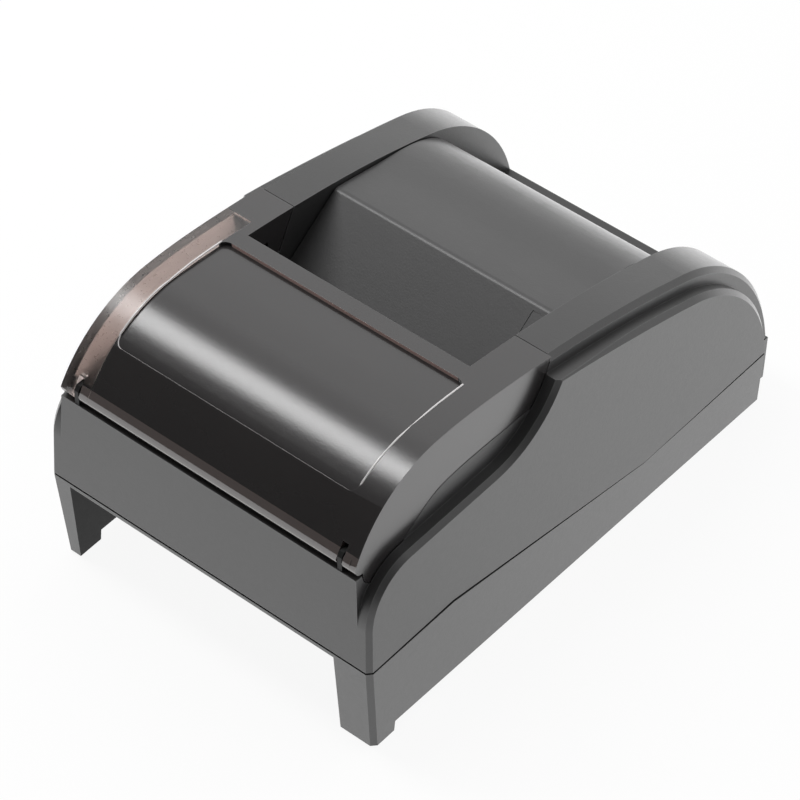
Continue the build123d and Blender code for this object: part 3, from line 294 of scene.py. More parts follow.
def dress(tree, shader, colour, height, strength, distance, roughness=None):
    """Feed the shader a colour, the bumps of a height and, where it varies, a roughness."""
    feed(tree, colour, shader.inputs["Base Color"])
    bumps = add_node(tree, "ShaderNodeBump", Strength=strength, Distance=distance, Height=height)
    feed(tree, bumps.outputs["Normal"], shader.inputs["Normal"])
    if roughness:
        feed(tree, roughness, shader.inputs["Roughness"])


def moulded_plastic(name, colour, roughness, grain, strength, dust, wear_and_highlight, gloss=0.5):
    """Matt moulded plastic with fine grain, worn edges that also carry a painted highlight, and a trace of
    dust.
    """
    material, tree, shader = new_material(name, colour, roughness, Specular_IOR_Level=gloss)
    texture = place_group(tree, "grain", Size=grain * MM)
    worn_and_lit_edges = place_group(tree, "wear_and_highlight", Width=0.5 * MM, Amount=wear_and_highlight)
    film = place_group(tree, "dust", Amount=dust)
    # Edges lighten towards this pale colour, as worn plastic and as a painted highlight along them
    worn_and_lit_colour = tuple(0.12 + 0.9 * part for part in colour)
    lit = blend(tree, worn_and_lit_edges["Edges"], opaque(colour), opaque(worn_and_lit_colour))
    dusty = blend(tree, film["Dust"], lit, (0.30, 0.29, 0.28, 1))
    rough = maths(tree, "MULTIPLY_ADD", texture["Hollows"], 0.10, roughness - 0.05)
    dress(tree, shader, dusty, texture["Height"], strength, 0.04 * MM, rough)
    return material


def smoked_plastic(name, tint, roughness, grain):
    """Clear moulding with smoke in it, and a slightly dusty, fine-grained face."""
    material, tree, shader = new_material(name, tint, roughness, Transmission_Weight=1.0, IOR=1.49)
    texture = place_group(tree, "grain", Size=grain * MM)
    film = place_group(tree, "dust", Amount=0.03)
    dusty = blend(tree, film["Dust"], opaque(tint), (0.5, 0.46, 0.44, 1))
    rough = maths(tree, "MULTIPLY_ADD", texture["Hollows"], 0.08, roughness)
    dress(tree, shader, dusty, texture["Height"], 0.03, 0.03 * MM, rough)
    return material


def plated_steel(name, colour, roughness):
    """Plated sheet or bar steel with rolling marks."""
    material, tree, shader = new_material(name, colour, roughness, Metallic=1.0)
    marks = place_group(tree, "brushed")["Marks"]
    worn_and_lit_edges = place_group(tree, "wear_and_highlight", Width=0.3 * MM, Amount=0.4)
    shaded = blend(tree, marks, opaque(colour), opaque(colour, 0.78))
    # Edges lighten towards bright metal, as worn plating and as a painted highlight along them
    edged = blend(tree, worn_and_lit_edges["Edges"], shaded, (0.85, 0.85, 0.86, 1))
    dress(tree, shader, edged, marks, 0.15, 0.02 * MM, maths(tree, "MULTIPLY_ADD", marks, 0.18, roughness))
    return material


def ground_rubber(name, colour, roughness, scale):
    """Black rubber with a ground, slightly dusty face."""
    material, tree, shader = new_material(name, colour, roughness)
    ground = noise(tree, scale, 4.0, 0.7)
    film = place_group(tree, "dust", Amount=0.08, Patch_size=0.01)
    mottled = blend(tree, ground, opaque(colour), opaque(colour, 1.6))
    dusty = blend(tree, film["Dust"], mottled, (0.4, 0.39, 0.37, 1))
    dress(tree, shader, dusty, ground, 0.3, 0.05 * MM)
    return material


def circuit_laminate(name, mask, copper):
    """Solder mask over faint tracks, with a regular field of vias."""
    material, tree, shader = new_material(name, mask, 0.35)
    place = object_place(tree)
    tracks = add_node(
        tree, "ShaderNodeTexBrick", Vector=place, Scale=220.0, Mortar_Size=0.03, Row_Height=0.5
    )
    tracks.offset = 0.37
    dots = add_node(tree, "ShaderNodeTexVoronoi", Vector=place, Scale=320.0, Randomness=0.35)
    vias = maths(tree, "LESS_THAN", dots.outputs["Distance"], 0.12)
    light = blend(tree, tracks.outputs["Fac"], opaque(mask), opaque(mask, 1.7))
    dress(tree, shader, blend(tree, vias, light, opaque(copper)), tracks.outputs["Fac"], 0.2, 0.03 * MM)
    return material


def flat_flex(name, sheet, stripe):
    """A flat cable: pale film over parallel conductors."""
    material, tree, shader = new_material(name, sheet, 0.4)
    bands = add_node(tree, "ShaderNodeTexWave", Vector=object_place(tree), Scale=320.0)
    bands.bands_direction = "X"
    mask = maths(tree, "GREATER_THAN", bands.outputs["Fac"], 0.6)
    striped = blend(tree, mask, opaque(sheet), opaque(stripe))
    dress(tree, shader, striped, bands.outputs["Fac"], 0.25, 0.05 * MM)
    return material


MATERIALS = {}

# Name, colour or share of the shell's colour, roughness or None for the shell's, grain size in
# millimetres, grain strength, dust, worn edges with their painted highlight, and gloss
PLASTICS = {
    "housing": ("Charcoal ABS", 1.0, None, 0.6, 0.6, 0.04, 0.9),
    "lid": ("Charcoal lid ABS", 1.5, None, 0.6, 0.5, 0.04, 0.7),
    # Painted shade: a darker copy of the shell plastic for the walls inside the arch
    "arch_wall": ("Shaded arch wall", 0.12, 0.6, 0.6, 0.3, 0.03, 0.1, 0.15),
    # Painted shade: the shell plastic with little gloss and little edge lightening, on the left rail's edge
    # only
    "rail_edge": ("Matt rail edge", 1.0, 0.75, 0.6, 0.3, 0.04, 0.1, 0.1),
    "bin": ("Black bin moulding", (0.03, 0.03, 0.032), 0.5, 0.5, 0.3, 0.02, 0.1),
    "panel": ("Dark cover panel", (0.02, 0.0183, 0.0188), 0.23, 0.45, 0.5, 0.02, 0.3, 0.64),
    "polished": ("Polished dark cover", (0.014, 0.0125, 0.0125), 0.13, 0.9, 0.08, 0.02, 0.3),
    "lip": ("Smoked lip", (0.06, 0.048, 0.045), 0.1, 0.8, 0.1, 0.02, 0.2, 0.9),
    # Painted light: a pale pink-brown that makes the rear wall of the panel's recess look lit
    "recess": ("Smoked recess", (0.65, 0.46, 0.42), 0.4, 0.6, 0.3, 0.04, 0.1, 0.1),
    # Painted highlight: pale grey makes the bead round the panel read as a lit edge
    "bead": ("Polished bead", (0.6, 0.58, 0.58), 0.18, 0.8, 0.1, 0.0, 0.0, 1.0),
    # Painted shade: near black on the hinge ears
    "shaded": ("Dark hinge ears", (0.004, 0.004, 0.004), 0.6, 0.6, 0.3, 0.0, 0.0, 0.2),
    "acetal": ("Natural acetal", (0.72, 0.70, 0.63), 0.4, 0.3, 0.15, 0.02, 0.1),
    "chips": ("Chip packages", (0.02, 0.02, 0.022), 0.55, 0.2, 0.3, 0.02, 0.1),
    "socket": ("Socket black", (0.018, 0.018, 0.02), 0.4, 0.3, 0.2, 0.02, 0.15),
    "button": ("Button grey", (0.10, 0.10, 0.105), 0.42, 0.4, 0.25, 0.02, 0.2),
}


def finish_of(name):
    """A finish by name, made on first use from the panel's colours."""
    shell = bpy.context.scene.printer_shell
    cover = bpy.context.scene.printer_cover
    makers = {
        "cover": lambda: smoked_plastic("Smoked cover", tuple(cover.tint), 0.26, 0.6),
        "steel": lambda: plated_steel("Plated steel", (0.55, 0.55, 0.56), 0.28),
        "aluminium": lambda: plated_steel("Matt aluminium", (0.62, 0.63, 0.65), 0.38),
        "spring": lambda: plated_steel("Spring wire", (0.5, 0.5, 0.52), 0.22),
        "gold": lambda: plated_steel("Gilt contacts", (0.78, 0.6, 0.28), 0.2),
        "ceramic": lambda: new_material("Glazed ceramic", (0.20, 0.10, 0.06), 0.15, Coat_Weight=0.6)[0],
        "flex": lambda: flat_flex("Flat cable", (0.62, 0.60, 0.56), (0.25, 0.2, 0.16)),
        "rubber": lambda: ground_rubber("Ground rubber", (0.03, 0.03, 0.032), 0.72, 1800.0),
        "board": lambda: circuit_laminate("Green laminate", (0.02, 0.12, 0.045), (0.55, 0.5, 0.38)),
        "lens": lambda: new_material(
            "Tinted lens", (0.25, 0.62, 0.3), 0.1, Transmission_Weight=0.7, IOR=1.5
        )[0],
    }
    if name not in MATERIALS and name in PLASTICS:
        label, colour, roughness, *rest = PLASTICS[name]
        if isinstance(colour, float):
            colour = tuple(colour * part for part in shell.colour)
        MATERIALS[name] = moulded_plastic(label, colour, roughness or shell.roughness, *rest)
    elif name not in MATERIALS:
        MATERIALS[name] = makers[name]()
    return MATERIALS[name]


# Mesh helpers
def plain_object(name, mesh):
    """A mesh as an object in the scene, at the origin."""
    made = bpy.data.objects.new(name, mesh)
    bpy.context.scene.collection.objects.link(made)
    return made


def bake_modifiers(thing):
    """Replace an object's mesh by its evaluated one, and drop its modifiers."""
    bpy.context.view_layer.update()
    evaluated = thing.evaluated_get(bpy.context.evaluated_depsgraph_get())
    mesh = bpy.data.meshes.new_from_object(evaluated)
    thing.modifiers.clear()
    thing.data = mesh
    return thing


def smooth_by_angle(mesh, degrees):
    """Shade smooth, with edges sharper than the angle kept crisp."""
    mesh.shade_smooth()
    mesh.set_sharp_from_angle(angle=math.radians(degrees))


def even_normals(thing, degrees=35):
    """Shade smooth by angle, with every normal led by the largest face beside it."""
    smooth_by_angle(thing.data, degrees)
    even = thing.modifiers.new("Even normals", "WEIGHTED_NORMAL")
    even.mode = "FACE_AREA"
    even.weight = 90
    even.keep_sharp = True
    return bake_modifiers(thing)


def ease_strip(shape, side, share):
    """Raise the sunk inner edge of the lid's strip on one side to a share of its depth."""
    near = 0.1 * MM
    for vert in shape.verts:
        if abs(vert.co.x - side * STRIP_EDGE) < near:
            for edge in vert.link_edges:
                upper = edge.other_vert(vert)
                step = upper.co - vert.co
                if abs(step.x) < near and step.z > 0.3 * MM and step.length < 1.0 * MM:
                    vert.co = upper.co - step * share
                    break
    bmesh.ops.remove_doubles(shape, verts=shape.verts, dist=WELD)
    bmesh.ops.dissolve_degenerate(shape, dist=WELD, edges=shape.edges)


def ease_lid(shape):
    """The left strip lies nearly flush and the right one is a shallow facet."""
    ease_strip(shape, -1, 0.0)
    ease_strip(shape, 1, 0.25)


def soft_copy(node, width, finish, body, name=None, change=None, split=False):
    """A copy of a CAD node with its facets merged and its sharp edges rounded off."""
    name = name or node.capitalize()
    mesh = NODES[node].data.copy()
    mesh.name = name
    shape = bmesh.new()
    shape.from_mesh(mesh)
    bmesh.ops.remove_doubles(shape, verts=shape.verts, dist=WELD)
    if change:
        change(shape)
    bmesh.ops.dissolve_limit(
        shape,
        angle_limit=math.radians(FACET_ANGLE),
        use_dissolve_boundaries=False,
        verts=shape.verts,
        edges=shape.edges,
    )
    if split:
        # A large face round a window would fold over it when its edges are rounded
        bmesh.ops.triangulate(shape, faces=[face for face in shape.faces if len(face.verts) > 4])
    shape.to_mesh(mesh)
    shape.free()
    if "custom_normal" in mesh.attributes:
        mesh.attributes.remove(mesh.attributes["custom_normal"])
    made = plain_object(name, mesh)
    if width > 0:
        edge = made.modifiers.new("Soft edges", "BEVEL")
        edge.width = width
        edge.segments = 2
        edge.limit_method = "ANGLE"
        edge.angle_limit = math.radians(EDGE_ANGLE)
        edge.use_clamp_overlap = True
        edge.miter_outer = "MITER_ARC"
        bake_modifiers(made)
    even_normals(made)
    made.data.materials.clear()
    made.data.materials.append(finish_of(finish))
    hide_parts(node)
    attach(made, body)
    return made


def corner_points(x, y, radius, first):
    """A quarter circle of points, from the angle where it begins."""
    angles = [math.radians(first + 15 * index) for index in range(7)]
    return [(x + radius * math.cos(angle), y + radius * math.sin(angle)) for angle in angles]


def band_outline(left, right, rear):
    """The clear band down the cover's left side, seen from above."""
    return [(left, BEYOND), (right, BEYOND), (right, rear), (left, rear)]


def colour_faces(thing, finish, inside):
    """Give the faces whose middle passes a test a second finish."""
    thing.data.materials.append(finish_of(finish))
    last = len(thing.data.materials) - 1
    for face in thing.data.polygons:
        if inside(face.center):
            face.material_index = last


def within(limits, mirrored=False):
    """A test for places within a box in millimetres, or within it or its mirror image."""

    def inside(place):
        across = abs(place.x) if mirrored else place.x
        parts = zip((across, place.y, place.z), limits)
        return all(low * MM < part < high * MM for part, (low, high) in parts)

    return inside


def round_about_hinge(thing, finish):
    """Shade the faces of one finish as if they were round about the cover's hinge line."""
    mesh = thing.data
    normals = [corner.vector.copy() for corner in mesh.corner_normals]
    for face in mesh.polygons:
        if mesh.materials[face.material_index] != finish_of(finish) or abs(face.normal.x) > 0.5:
            continue
        for loop in face.loop_indices:
            place = mesh.vertices[mesh.loops[loop].vertex_index].co
            outwards = Vector((0.0, place.y - HINGE[1], place.z - HINGE[2])).normalized()
            outwards.z = min(outwards.z + LIP_TURN, LIP_TOP)
            outwards.y = -math.sqrt(1.0 - outwards.z**2)
            if outwards.dot(face.normal) > 0.2:
                normals[loop] = outwards
    mesh.normals_split_custom_set(normals)


def cut_with(thing, outline, operation):
    """Keep or remove what lies within an upright prism over an outline."""
    count = len(outline)
    verts = [(x, y, level) for level in (50 * MM, ABOVE_COVER) for x, y in outline]
    faces = [list(range(count))[::-1], list(range(count, 2 * count))]
    for index in range(count):
        after = (index + 1) % count
        faces.append([index, after, count + after, count + index])
    mesh = bpy.data.meshes.new("Cutter")
    mesh.from_pydata(verts, [], faces)
    cutter = plain_object("Cutter", mesh)
    cut = thing.modifiers.new("Cut", "BOOLEAN")
    cut.operation = operation
    cut.solver = "EXACT"
    cut.object = cutter
    bake_modifiers(thing)
    bpy.data.objects.remove(cutter)
    bpy.data.meshes.remove(mesh)


def paint_nodes(**finishes):
    """Give CAD nodes finishes of their own."""
    for node, finish in finishes.items():
        mesh = NODES[node].data
        mesh.materials.clear()
        mesh.materials.append(finish_of(finish))


# Geometry node helpers
def shape_tree(name, inputs):
    """A geometry tree with named inputs, the sockets they give and its last node."""
    tree = bpy.data.node_groups.new(name, "GeometryNodeTree")
    name_socket(tree, "Geometry", "NodeSocketGeometry")
    name_socket(tree, "Geometry", "NodeSocketGeometry", "OUTPUT")
    for label, value in inputs.items():
        name_socket(tree, label, value)
    name_socket(tree, "Material", "NodeSocketMaterial")
    return tree, tree.nodes.new("NodeGroupInput").outputs, tree.nodes.new("NodeGroupOutput")


def close_tree(tree, given, end, geometry):
    """Realize the instances, set the material and feed the tree's output."""
    real = add_node(tree, "GeometryNodeRealizeInstances", Geometry=geometry).outputs[0]
    paint = add_node(tree, "GeometryNodeSetMaterial", Geometry=real, Material=given["Material"])
    feed(tree, paint.outputs[0], end.inputs["Geometry"])
    return tree


def ring(tree, resolution, radius):
    """A circle, as a path or a section."""
    kind = "GeometryNodeCurvePrimitiveCircle"
    return add_node(tree, kind, Resolution=resolution, Radius=radius).outputs[0]


def swept(tree, path, section, caps=True):
    """A section swept along a path."""
    kind = "GeometryNodeCurveToMesh"
    return add_node(tree, kind, Curve=path, Profile_Curve=section, Fill_Caps=caps).outputs[0]


def copied(tree, points, thing, **turn):
    """A copy of a thing on each point."""
    return add_node(tree, "GeometryNodeInstanceOnPoints", Points=points, Instance=thing, **turn).outputs[0]


def moved(tree, thing, step):
    """A thing moved by a step."""
    return add_node(tree, "GeometryNodeTransform", Geometry=thing, Translation=step).outputs[0]


def cylinder(tree, sides, radius, height):
    """An upright cylinder about the origin."""
    node = add_node(tree, "GeometryNodeMeshCylinder", Vertices=sides, Radius=radius, Depth=height)
    return node.outputs["Mesh"]


def block(tree, size):
    """A block about the origin."""
    return add_node(tree, "GeometryNodeMeshCube", Size=size).outputs["Mesh"]


def run_tree(tree, name, points, values, depths=(), chain=False):
    """Run a tree on a cloud or chain of points and keep the result as a plain mesh."""
    cloud = bpy.data.meshes.new(name)
    edges = [(index, index + 1) for index in range(len(points) - 1)] if chain else []
    cloud.from_pydata([tuple(p) for p in points], edges, [])
    if depths:
        cloud.attributes.new("depth", "FLOAT", "POINT").data.foreach_set("value", depths)
    made = plain_object(name, cloud)
    modifier = made.modifiers.new("Shape", "NODES")
    modifier.node_group = tree
    for item in tree.interface.items_tree:
        if item.item_type == "SOCKET" and item.in_out == "INPUT" and item.name in values:
            modifier[item.identifier] = values[item.name]
    bake_modifiers(made)
    return made


def coil_tree():
    """A coil spring on each point, standing along Z."""
    tree, given, end = shape_tree(
        "Coil springs", {"Turns": 5.0, "Radius": 2.2 * MM, "Wire": 0.3 * MM, "Height": 7.7 * MM}
    )
    spiral = add_node(
        tree,
        "GeometryNodeCurveSpiral",
        Resolution=24,
        Rotations=given["Turns"],
        Start_Radius=given["Radius"],
        End_Radius=given["Radius"],
        Height=given["Height"],
    )
    coil = swept(tree, spiral.outputs[0], ring(tree, 10, given["Wire"]))
    return close_tree(tree, given, end, copied(tree, given["Geometry"], coil))


def screw_tree():
    """A screw with a round head and a cross recess on each point, head towards +Z."""
    tree, given, end = shape_tree(
        "Cross-head screws",
        {"Head radius": 2.5 * MM, "Head height": 2.0 * MM, "Shank radius": 1.5 * MM, "Turn over": 0.0},
    )
    radius, height = given["Head radius"], given["Head height"]
    head = cylinder(tree, 28, radius, height)
    head = moved(tree, head, vector_of(tree, Z=maths(tree, "MULTIPLY", height, 0.5)))
    top = vector_of(tree, Z=maths(tree, "MULTIPLY", height, 0.98))
    for wide, long in ((0.22, 1.3), (1.3, 0.22)):
        across, along = (maths(tree, "MULTIPLY", radius, share) for share in (wide, long))
        bar = moved(tree, block(tree, vector_of(tree, X=across, Y=along, Z=height)), top)
        cut = tree.nodes.new("GeometryNodeMeshBoolean")
        cut.operation = "DIFFERENCE"
        feed(tree, head, cut.inputs["Mesh 1"])
        feed(tree, bar, cut.inputs["Mesh 2"])
        head = cut.outputs["Mesh"]
    shank = moved(tree, cylinder(tree, 20, given["Shank radius"], 1.0), (0.0, 0.0, -0.5))
    depth = add_node(tree, "GeometryNodeInputNamedAttribute", Name="depth")
    depth.data_type = "FLOAT"
    stretch = vector_of(tree, X=1.0, Y=1.0, Z=depth.outputs["Attribute"])
    tilt = vector_of(tree, X=given["Turn over"])
    both = tree.nodes.new("GeometryNodeJoinGeometry")
    for piece, size in ((head, (1.0, 1.0, 1.0)), (shank, stretch)):
        screws = copied(tree, given["Geometry"], piece, Rotation=tilt, Scale=size)
        feed(tree, screws, both.inputs[0])
    return close_tree(tree, given, end, both.outputs[0])


def roller_tree():
    """A rubber sleeve along X on each point: a rounded section swept round its axis."""
    tree, given, end = shape_tree(
        "Roller sleeve",
        {
            "Outside radius": 5.3 * MM,
            "Bore radius": 1.5 * MM,
            "Length": 58 * MM,
            "Edge radius": 0.4 * MM,
            "Segments": 96,
        },
    )
    outside, bore = given["Outside radius"], given["Bore radius"]
    middle = maths(tree, "MULTIPLY", maths(tree, "ADD", outside, bore), 0.5)
    path = ring(tree, given["Segments"], middle)
    section = add_node(
        tree,
        "GeometryNodeCurvePrimitiveQuadrilateral",
        Width=maths(tree, "SUBTRACT", outside, bore),
        Height=given["Length"],
    )
    rounded = tree.nodes.new("GeometryNodeFilletCurve")
    rounded.mode = "POLY"
    for label, value in (("Count", 5), ("Curve", section.outputs[0]), ("Radius", given["Edge radius"])):
        feed(tree, value, rounded.inputs[label])
    sleeve = swept(tree, path, rounded.outputs[0], caps=False)
    along = (0.0, math.pi / 2, 0.0)
    return close_tree(tree, given, end, copied(tree, given["Geometry"], sleeve, Rotation=along))


def bead_tree():
    """A thin bead along a chain of points, laid down on the surface under it."""
    tree, given, end = shape_tree(
        "Surface bead",
        {"Surface": "NodeSocketObject", "Radius": 0.2 * MM, "Step": 0.8 * MM, "Highest": 1.0},
    )
    path = tree.nodes.new("GeometryNodeMeshToCurve")
    feed(tree, given["Geometry"], path.inputs[0])
    even = tree.nodes.new("GeometryNodeResampleCurve")
    even.mode = "LENGTH"
    feed(tree, path.outputs[0], even.inputs["Curve"])
    feed(tree, given["Step"], even.inputs["Length"])
    below = add_node(tree, "GeometryNodeObjectInfo", Object=given["Surface"])
    ray = add_node(
        tree,
        "GeometryNodeRaycast",
        Target_Geometry=below.outputs["Geometry"],
        Ray_Direction=(0.0, 0.0, -1.0),
        Ray_Length=0.2,
    )
    hit = split_axes(tree, ray.outputs["Hit Position"])
    top = maths(tree, "SUBTRACT", given["Highest"], given["Radius"])
    place = vector_of(tree, X=hit["X"], Y=hit["Y"], Z=maths(tree, "MINIMUM", hit["Z"], top))
    laid = add_node(tree, "GeometryNodeSetPosition", Geometry=even.outputs[0], Position=place)
    bead = swept(tree, laid.outputs[0], ring(tree, 10, given["Radius"]))
    return close_tree(tree, given, end, bead)


def row_tree():
    """Equal bars in a row from each point, such as contacts in a socket."""
    tree, given, end = shape_tree(
        "Row of contacts",
        {"Count": 6, "Step": (1.27 * MM, 0.0, 0.0), "Bar": (0.5 * MM, 6 * MM, 0.3 * MM)},
    )
    line = add_node(tree, "GeometryNodeMeshLine", Count=given["Count"], Offset=given["Step"])
    row = copied(tree, line.outputs[0], block(tree, given["Bar"]))
    return close_tree(tree, given, end, copied(tree, given["Geometry"], row))


def solids_of(node):
    """The boxes of a CAD node's separate solids, as pairs of corners."""
    shape = bmesh.new()
    shape.from_mesh(NODES[node].data)
    bmesh.ops.remove_doubles(shape, verts=shape.verts, dist=WELD)
    left = set(shape.verts)
    boxes = []
    while left:
        first = left.pop()
        group = [first]
        queue = [first]
        while queue:
            for edge in queue.pop().link_edges:
                for vert in edge.verts:
                    if vert in left:
                        left.discard(vert)
                        group.append(vert)
                        queue.append(vert)
        low = Vector([min(v.co[i] for v in group) for i in range(3)])
        high = Vector([max(v.co[i] for v in group) for i in range(3)])
        boxes.append((low, high))
    shape.free()
    return sorted(boxes, key=lambda pair: (round(pair[0].x, 4), round(pair[0].y, 4)))


# Sizes and colours that a user would change
def length_setting(name, description, default, low, high):
    """A length in the panel, in metres."""
    return level_setting(name, description, default, low, high, subtype="DISTANCE", unit="LENGTH")


def colour_setting(name, description, default):
    """A colour in the panel."""
    return bpy.props.FloatVectorProperty(
        name=name, description=description, subtype="COLOR", size=3, default=default, min=0.0, max=1.0
    )


def level_setting(name, description, default, low, high, **more):
    """A plain number in the panel."""
    return bpy.props.FloatProperty(
        name=name, description=description, default=default, min=low, max=high, **more
    )


class ShellSettings(bpy.types.PropertyGroup):
    """The charcoal mouldings."""

    colour: colour_setting(
        "Plastic colour", "Base colour of the housings and the lid", (0.0225, 0.0223, 0.0228)
    )
    roughness: level_setting("Plastic roughness", "How matt the mouldings are", 0.40, 0.1, 1.0)
    edge: length_setting("Edge radius", "Rounding of the moulded edges", 0.25 * MM, 0.0, MM)


class CoverSettings(bpy.types.PropertyGroup):
    """The smoked cover. Places along it are measured from the middle of the printer."""

    tint: colour_setting("Cover tint", "Colour of the smoked plastic", (0.48, 0.41, 0.385))
    panel_half: length_setting(
        "Panel half width", "Half the width of the shallow panel in the cover", 47.5 * MM, 0.01, 0.06
    )
    panel_rear: length_setting("Panel rear", "Where the bead round the panel ends", -31 * MM, -0.09, 0.0)
    panel_front: length_setting("Panel front", "Front edge of the dark panel", -78.4 * MM, -0.09, 0.0)
    bead: length_setting("Bead radius", "Radius of the fine bead round the panel", 0.3 * MM, 0.0, MM)
    band_end: length_setting(
        "Band end", "Where the clear band down the left side ends", -18 * MM, -0.09, 0.03
    )
    lip: length_setting(
        "Lip reach", "How far round the hinge line the lip's browner plastic reaches", 3.4 * MM, 0.0, 0.01
    )
    barrel: length_setting("Barrel end", "Left end of the lip's barrel", -51.2 * MM, -0.065, 0.0)
    edge: length_setting("Cover edge radius", "Rounding of the cover's edges", 0.3 * MM, 0.0, MM)


class MechanismSettings(bpy.types.PropertyGroup):
    """The printing mechanism."""

    turns: level_setting("Spring turns", "Turns of each head spring", 6.0, 2.0, 20.0)
    wire: length_setting("Spring wire radius", "Radius of the head springs' wire", 0.3 * MM, 0.1 * MM, MM)


class StudioSettings(bpy.types.PropertyGroup):
    """The stage and its light."""

    floor: colour_setting("Floor colour", "Colour of the floor", (0.86, 0.86, 0.86))
    top_light: level_setting(
        "Overhead light", "Power of the overhead softbox", 10.0, 0.0, 100.0, subtype="POWER", unit="POWER"
    )
    rear_wall: level_setting("Rear wall", "Brightness of the lit wall behind the printer", 1.45, 0.0, 5.0)
    front_wall: level_setting(
        "Front of the room", "Brightness of the dim side, where the camera stands", 0.16, 0.0, 5.0
    )
    table: level_setting(
        "Table", "Brightness of the table's front in the plastic's reflections", 1.98, 0.0, 5.0
    )
    table_rear: level_setting(
        "Table rear", "Brightness of the table's rear in the plastic's reflections", 3.3, 0.0, 5.0
    )


class PRINTER_OT_housings(bpy.types.Operator):
    """Round the edges of the two housings and give them their grain"""

    bl_idname = "printer.housings"
    bl_label = "Housings"

    def execute(self, context):
        edge = context.scene.printer_shell.edge
        lower = soft_copy("lower_housing", edge, "housing", "base", split=True)
        # Painted shade on the walls inside the arch
        colour_faces(lower, "arch_wall", within(ARCH_WALLS, mirrored=True))
        upper = soft_copy("upper_housing", edge, "housing", "base")
        # Painted shade on the hinge ears
        colour_faces(upper, "shaded", within(HINGE_EARS, mirrored=True))
        # Painted shade on the left rail's edge, which dims its reflection
        colour_faces(upper, "rail_edge", within(LEFT_RAIL_EDGE))
        return {"FINISHED"}


class PRINTER_OT_bin(bpy.types.Operator):
    """The paper-bin lid, its pins and the bin itself"""

    bl_idname = "printer.bin"
    bl_label = "Lid and paper bin"

    def execute(self, context):
        edge = context.scene.printer_shell.edge
        soft_copy("bin_lid", edge, "lid", "lid", change=ease_lid)
        soft_copy("paper_bin", edge, "bin", "base")
        paint_nodes(lid_hinge_pins="steel")
        return {"FINISHED"}


class PRINTER_OT_cover(bpy.types.Operator):
    """The smoked front cover"""

    bl_idname = "printer.cover"
    bl_label = "Front cover"

    def execute(self, context):
        settings = context.scene.printer_cover
        cover = soft_copy("front_cover", settings.edge, "cover", "cover")
        panel = plain_object("Cover_panel", cover.data.copy())
        panel.data.materials.clear()
        panel.data.materials.append(finish_of("panel"))
        half, front, rear = settings.panel_half, settings.panel_front, settings.panel_rear
        line = [(-half, rear)]
        line += corner_points(PANEL_CORNER - half, front + PANEL_CORNER, PANEL_CORNER, 180)
        line += corner_points(half - PANEL_CORNER, front + PANEL_CORNER, PANEL_CORNER, 270)
        line += [(half, rear)]
        # The bead round the panel is pale grey, a painted highlight along the panel's edge
        bead = run_tree(
            bead_tree(),
            "Cover_panel_bead",
            [(x, y, ABOVE_COVER) for x, y in line],
            {
                "Surface": panel,
                "Radius": settings.bead,
                "Step": 0.8 * MM,
                "Highest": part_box("front_cover")[1].z,
                "Material": finish_of("bead"),
            },
            chain=True,
        )
        smooth_by_angle(bead.data, 60)
        outside, end = -75 * MM, settings.band_end
        cut_with(cover, band_outline(outside, -half, end), "INTERSECT")
        cut_with(panel, band_outline(outside, SEAM - half, end + SEAM), "DIFFERENCE")
        even_normals(cover)
        even_normals(panel)
        colour_faces(panel, "polished", lambda middle: middle.y < front)
        # Painted light on the rear wall of the panel's recess
        colour_faces(panel, "recess", within(PANEL_RECESS))
        reach = settings.lip
        for piece, left in ((panel, BEYOND), (cover, settings.barrel)):
            colour_faces(
                piece,
                "lip",
                lambda middle: middle.x > left
                and math.hypot(middle.y - HINGE[1], middle.z - HINGE[2]) < reach,
            )
            round_about_hinge(piece, "lip")
        for piece in (panel, bead):
            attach(piece, "cover")
        return {"FINISHED"}


class PRINTER_OT_mechanism(bpy.types.Operator):
    """The printing mechanism, with real coils for its springs"""

    bl_idname = "printer.mechanism"
    bl_label = "Print mechanism"

    def execute(self, context):
        settings = context.scene.printer_mechanism
        boxes = solids_of("head_springs")
        points = [((low.x + high.x) / 2, (low.y + high.y) / 2, low.z + settings.wire) for low, high in boxes]
        radius = (boxes[0][1].x - boxes[0][0].x) / 2 - settings.wire
        height = boxes[0][1].z - boxes[0][0].z - 2 * settings.wire
        coils = run_tree(
            coil_tree(),
            "Head_spring_coils",
            points,
            {
                "Turns": settings.turns,
                "Radius": radius,
                "Wire": settings.wire,
                "Height": height,
                "Material": finish_of("spring"),
            },
        )
        smooth_by_angle(coils.data, 40)
        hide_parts("head_springs")
        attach(coils, "base")
        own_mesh(coils)
        low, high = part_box("platen_roller")
        inner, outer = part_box("platen_shaft")
        roller = run_tree(
            roller_tree(),
            "Platen_roller",
            [(low + high) / 2],
            {
                "Outside radius": (high.z - low.z) / 2,
                "Bore radius": (outer.z - inner.z) / 2,
                "Length": high.x - low.x,
                "Edge radius": 0.4 * MM,
                "Material": finish_of("rubber"),
            },
        )
        smooth_by_angle(roller.data, 40)
        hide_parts("platen_roller")
        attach(roller, "platen")
        soft_copy("mechanism_frame", 0.15 * MM, "steel", "base")
        soft_copy("head_sink", 0.2 * MM, "aluminium", "head", "Head_carrier")
        soft_copy("stepper_motor", 0.2 * MM, "steel", "base")
        for node, body in (("platen_gear", "platen"), ("idler_gear", "idler"), ("motor_pinion", "pinion")):
            soft_copy(node, 0.08 * MM, "acetal", body)
        paint_nodes(
            print_head="ceramic",
            head_pivot_pin="steel",
            head_cable="flex",
            platen_shaft="steel",
            platen_bushes="acetal",
            idler_stud="steel",
            tear_bar="steel",
            paper_sensor="socket",
            lid_sensor="socket",
        )
        return {"FINISHED"}


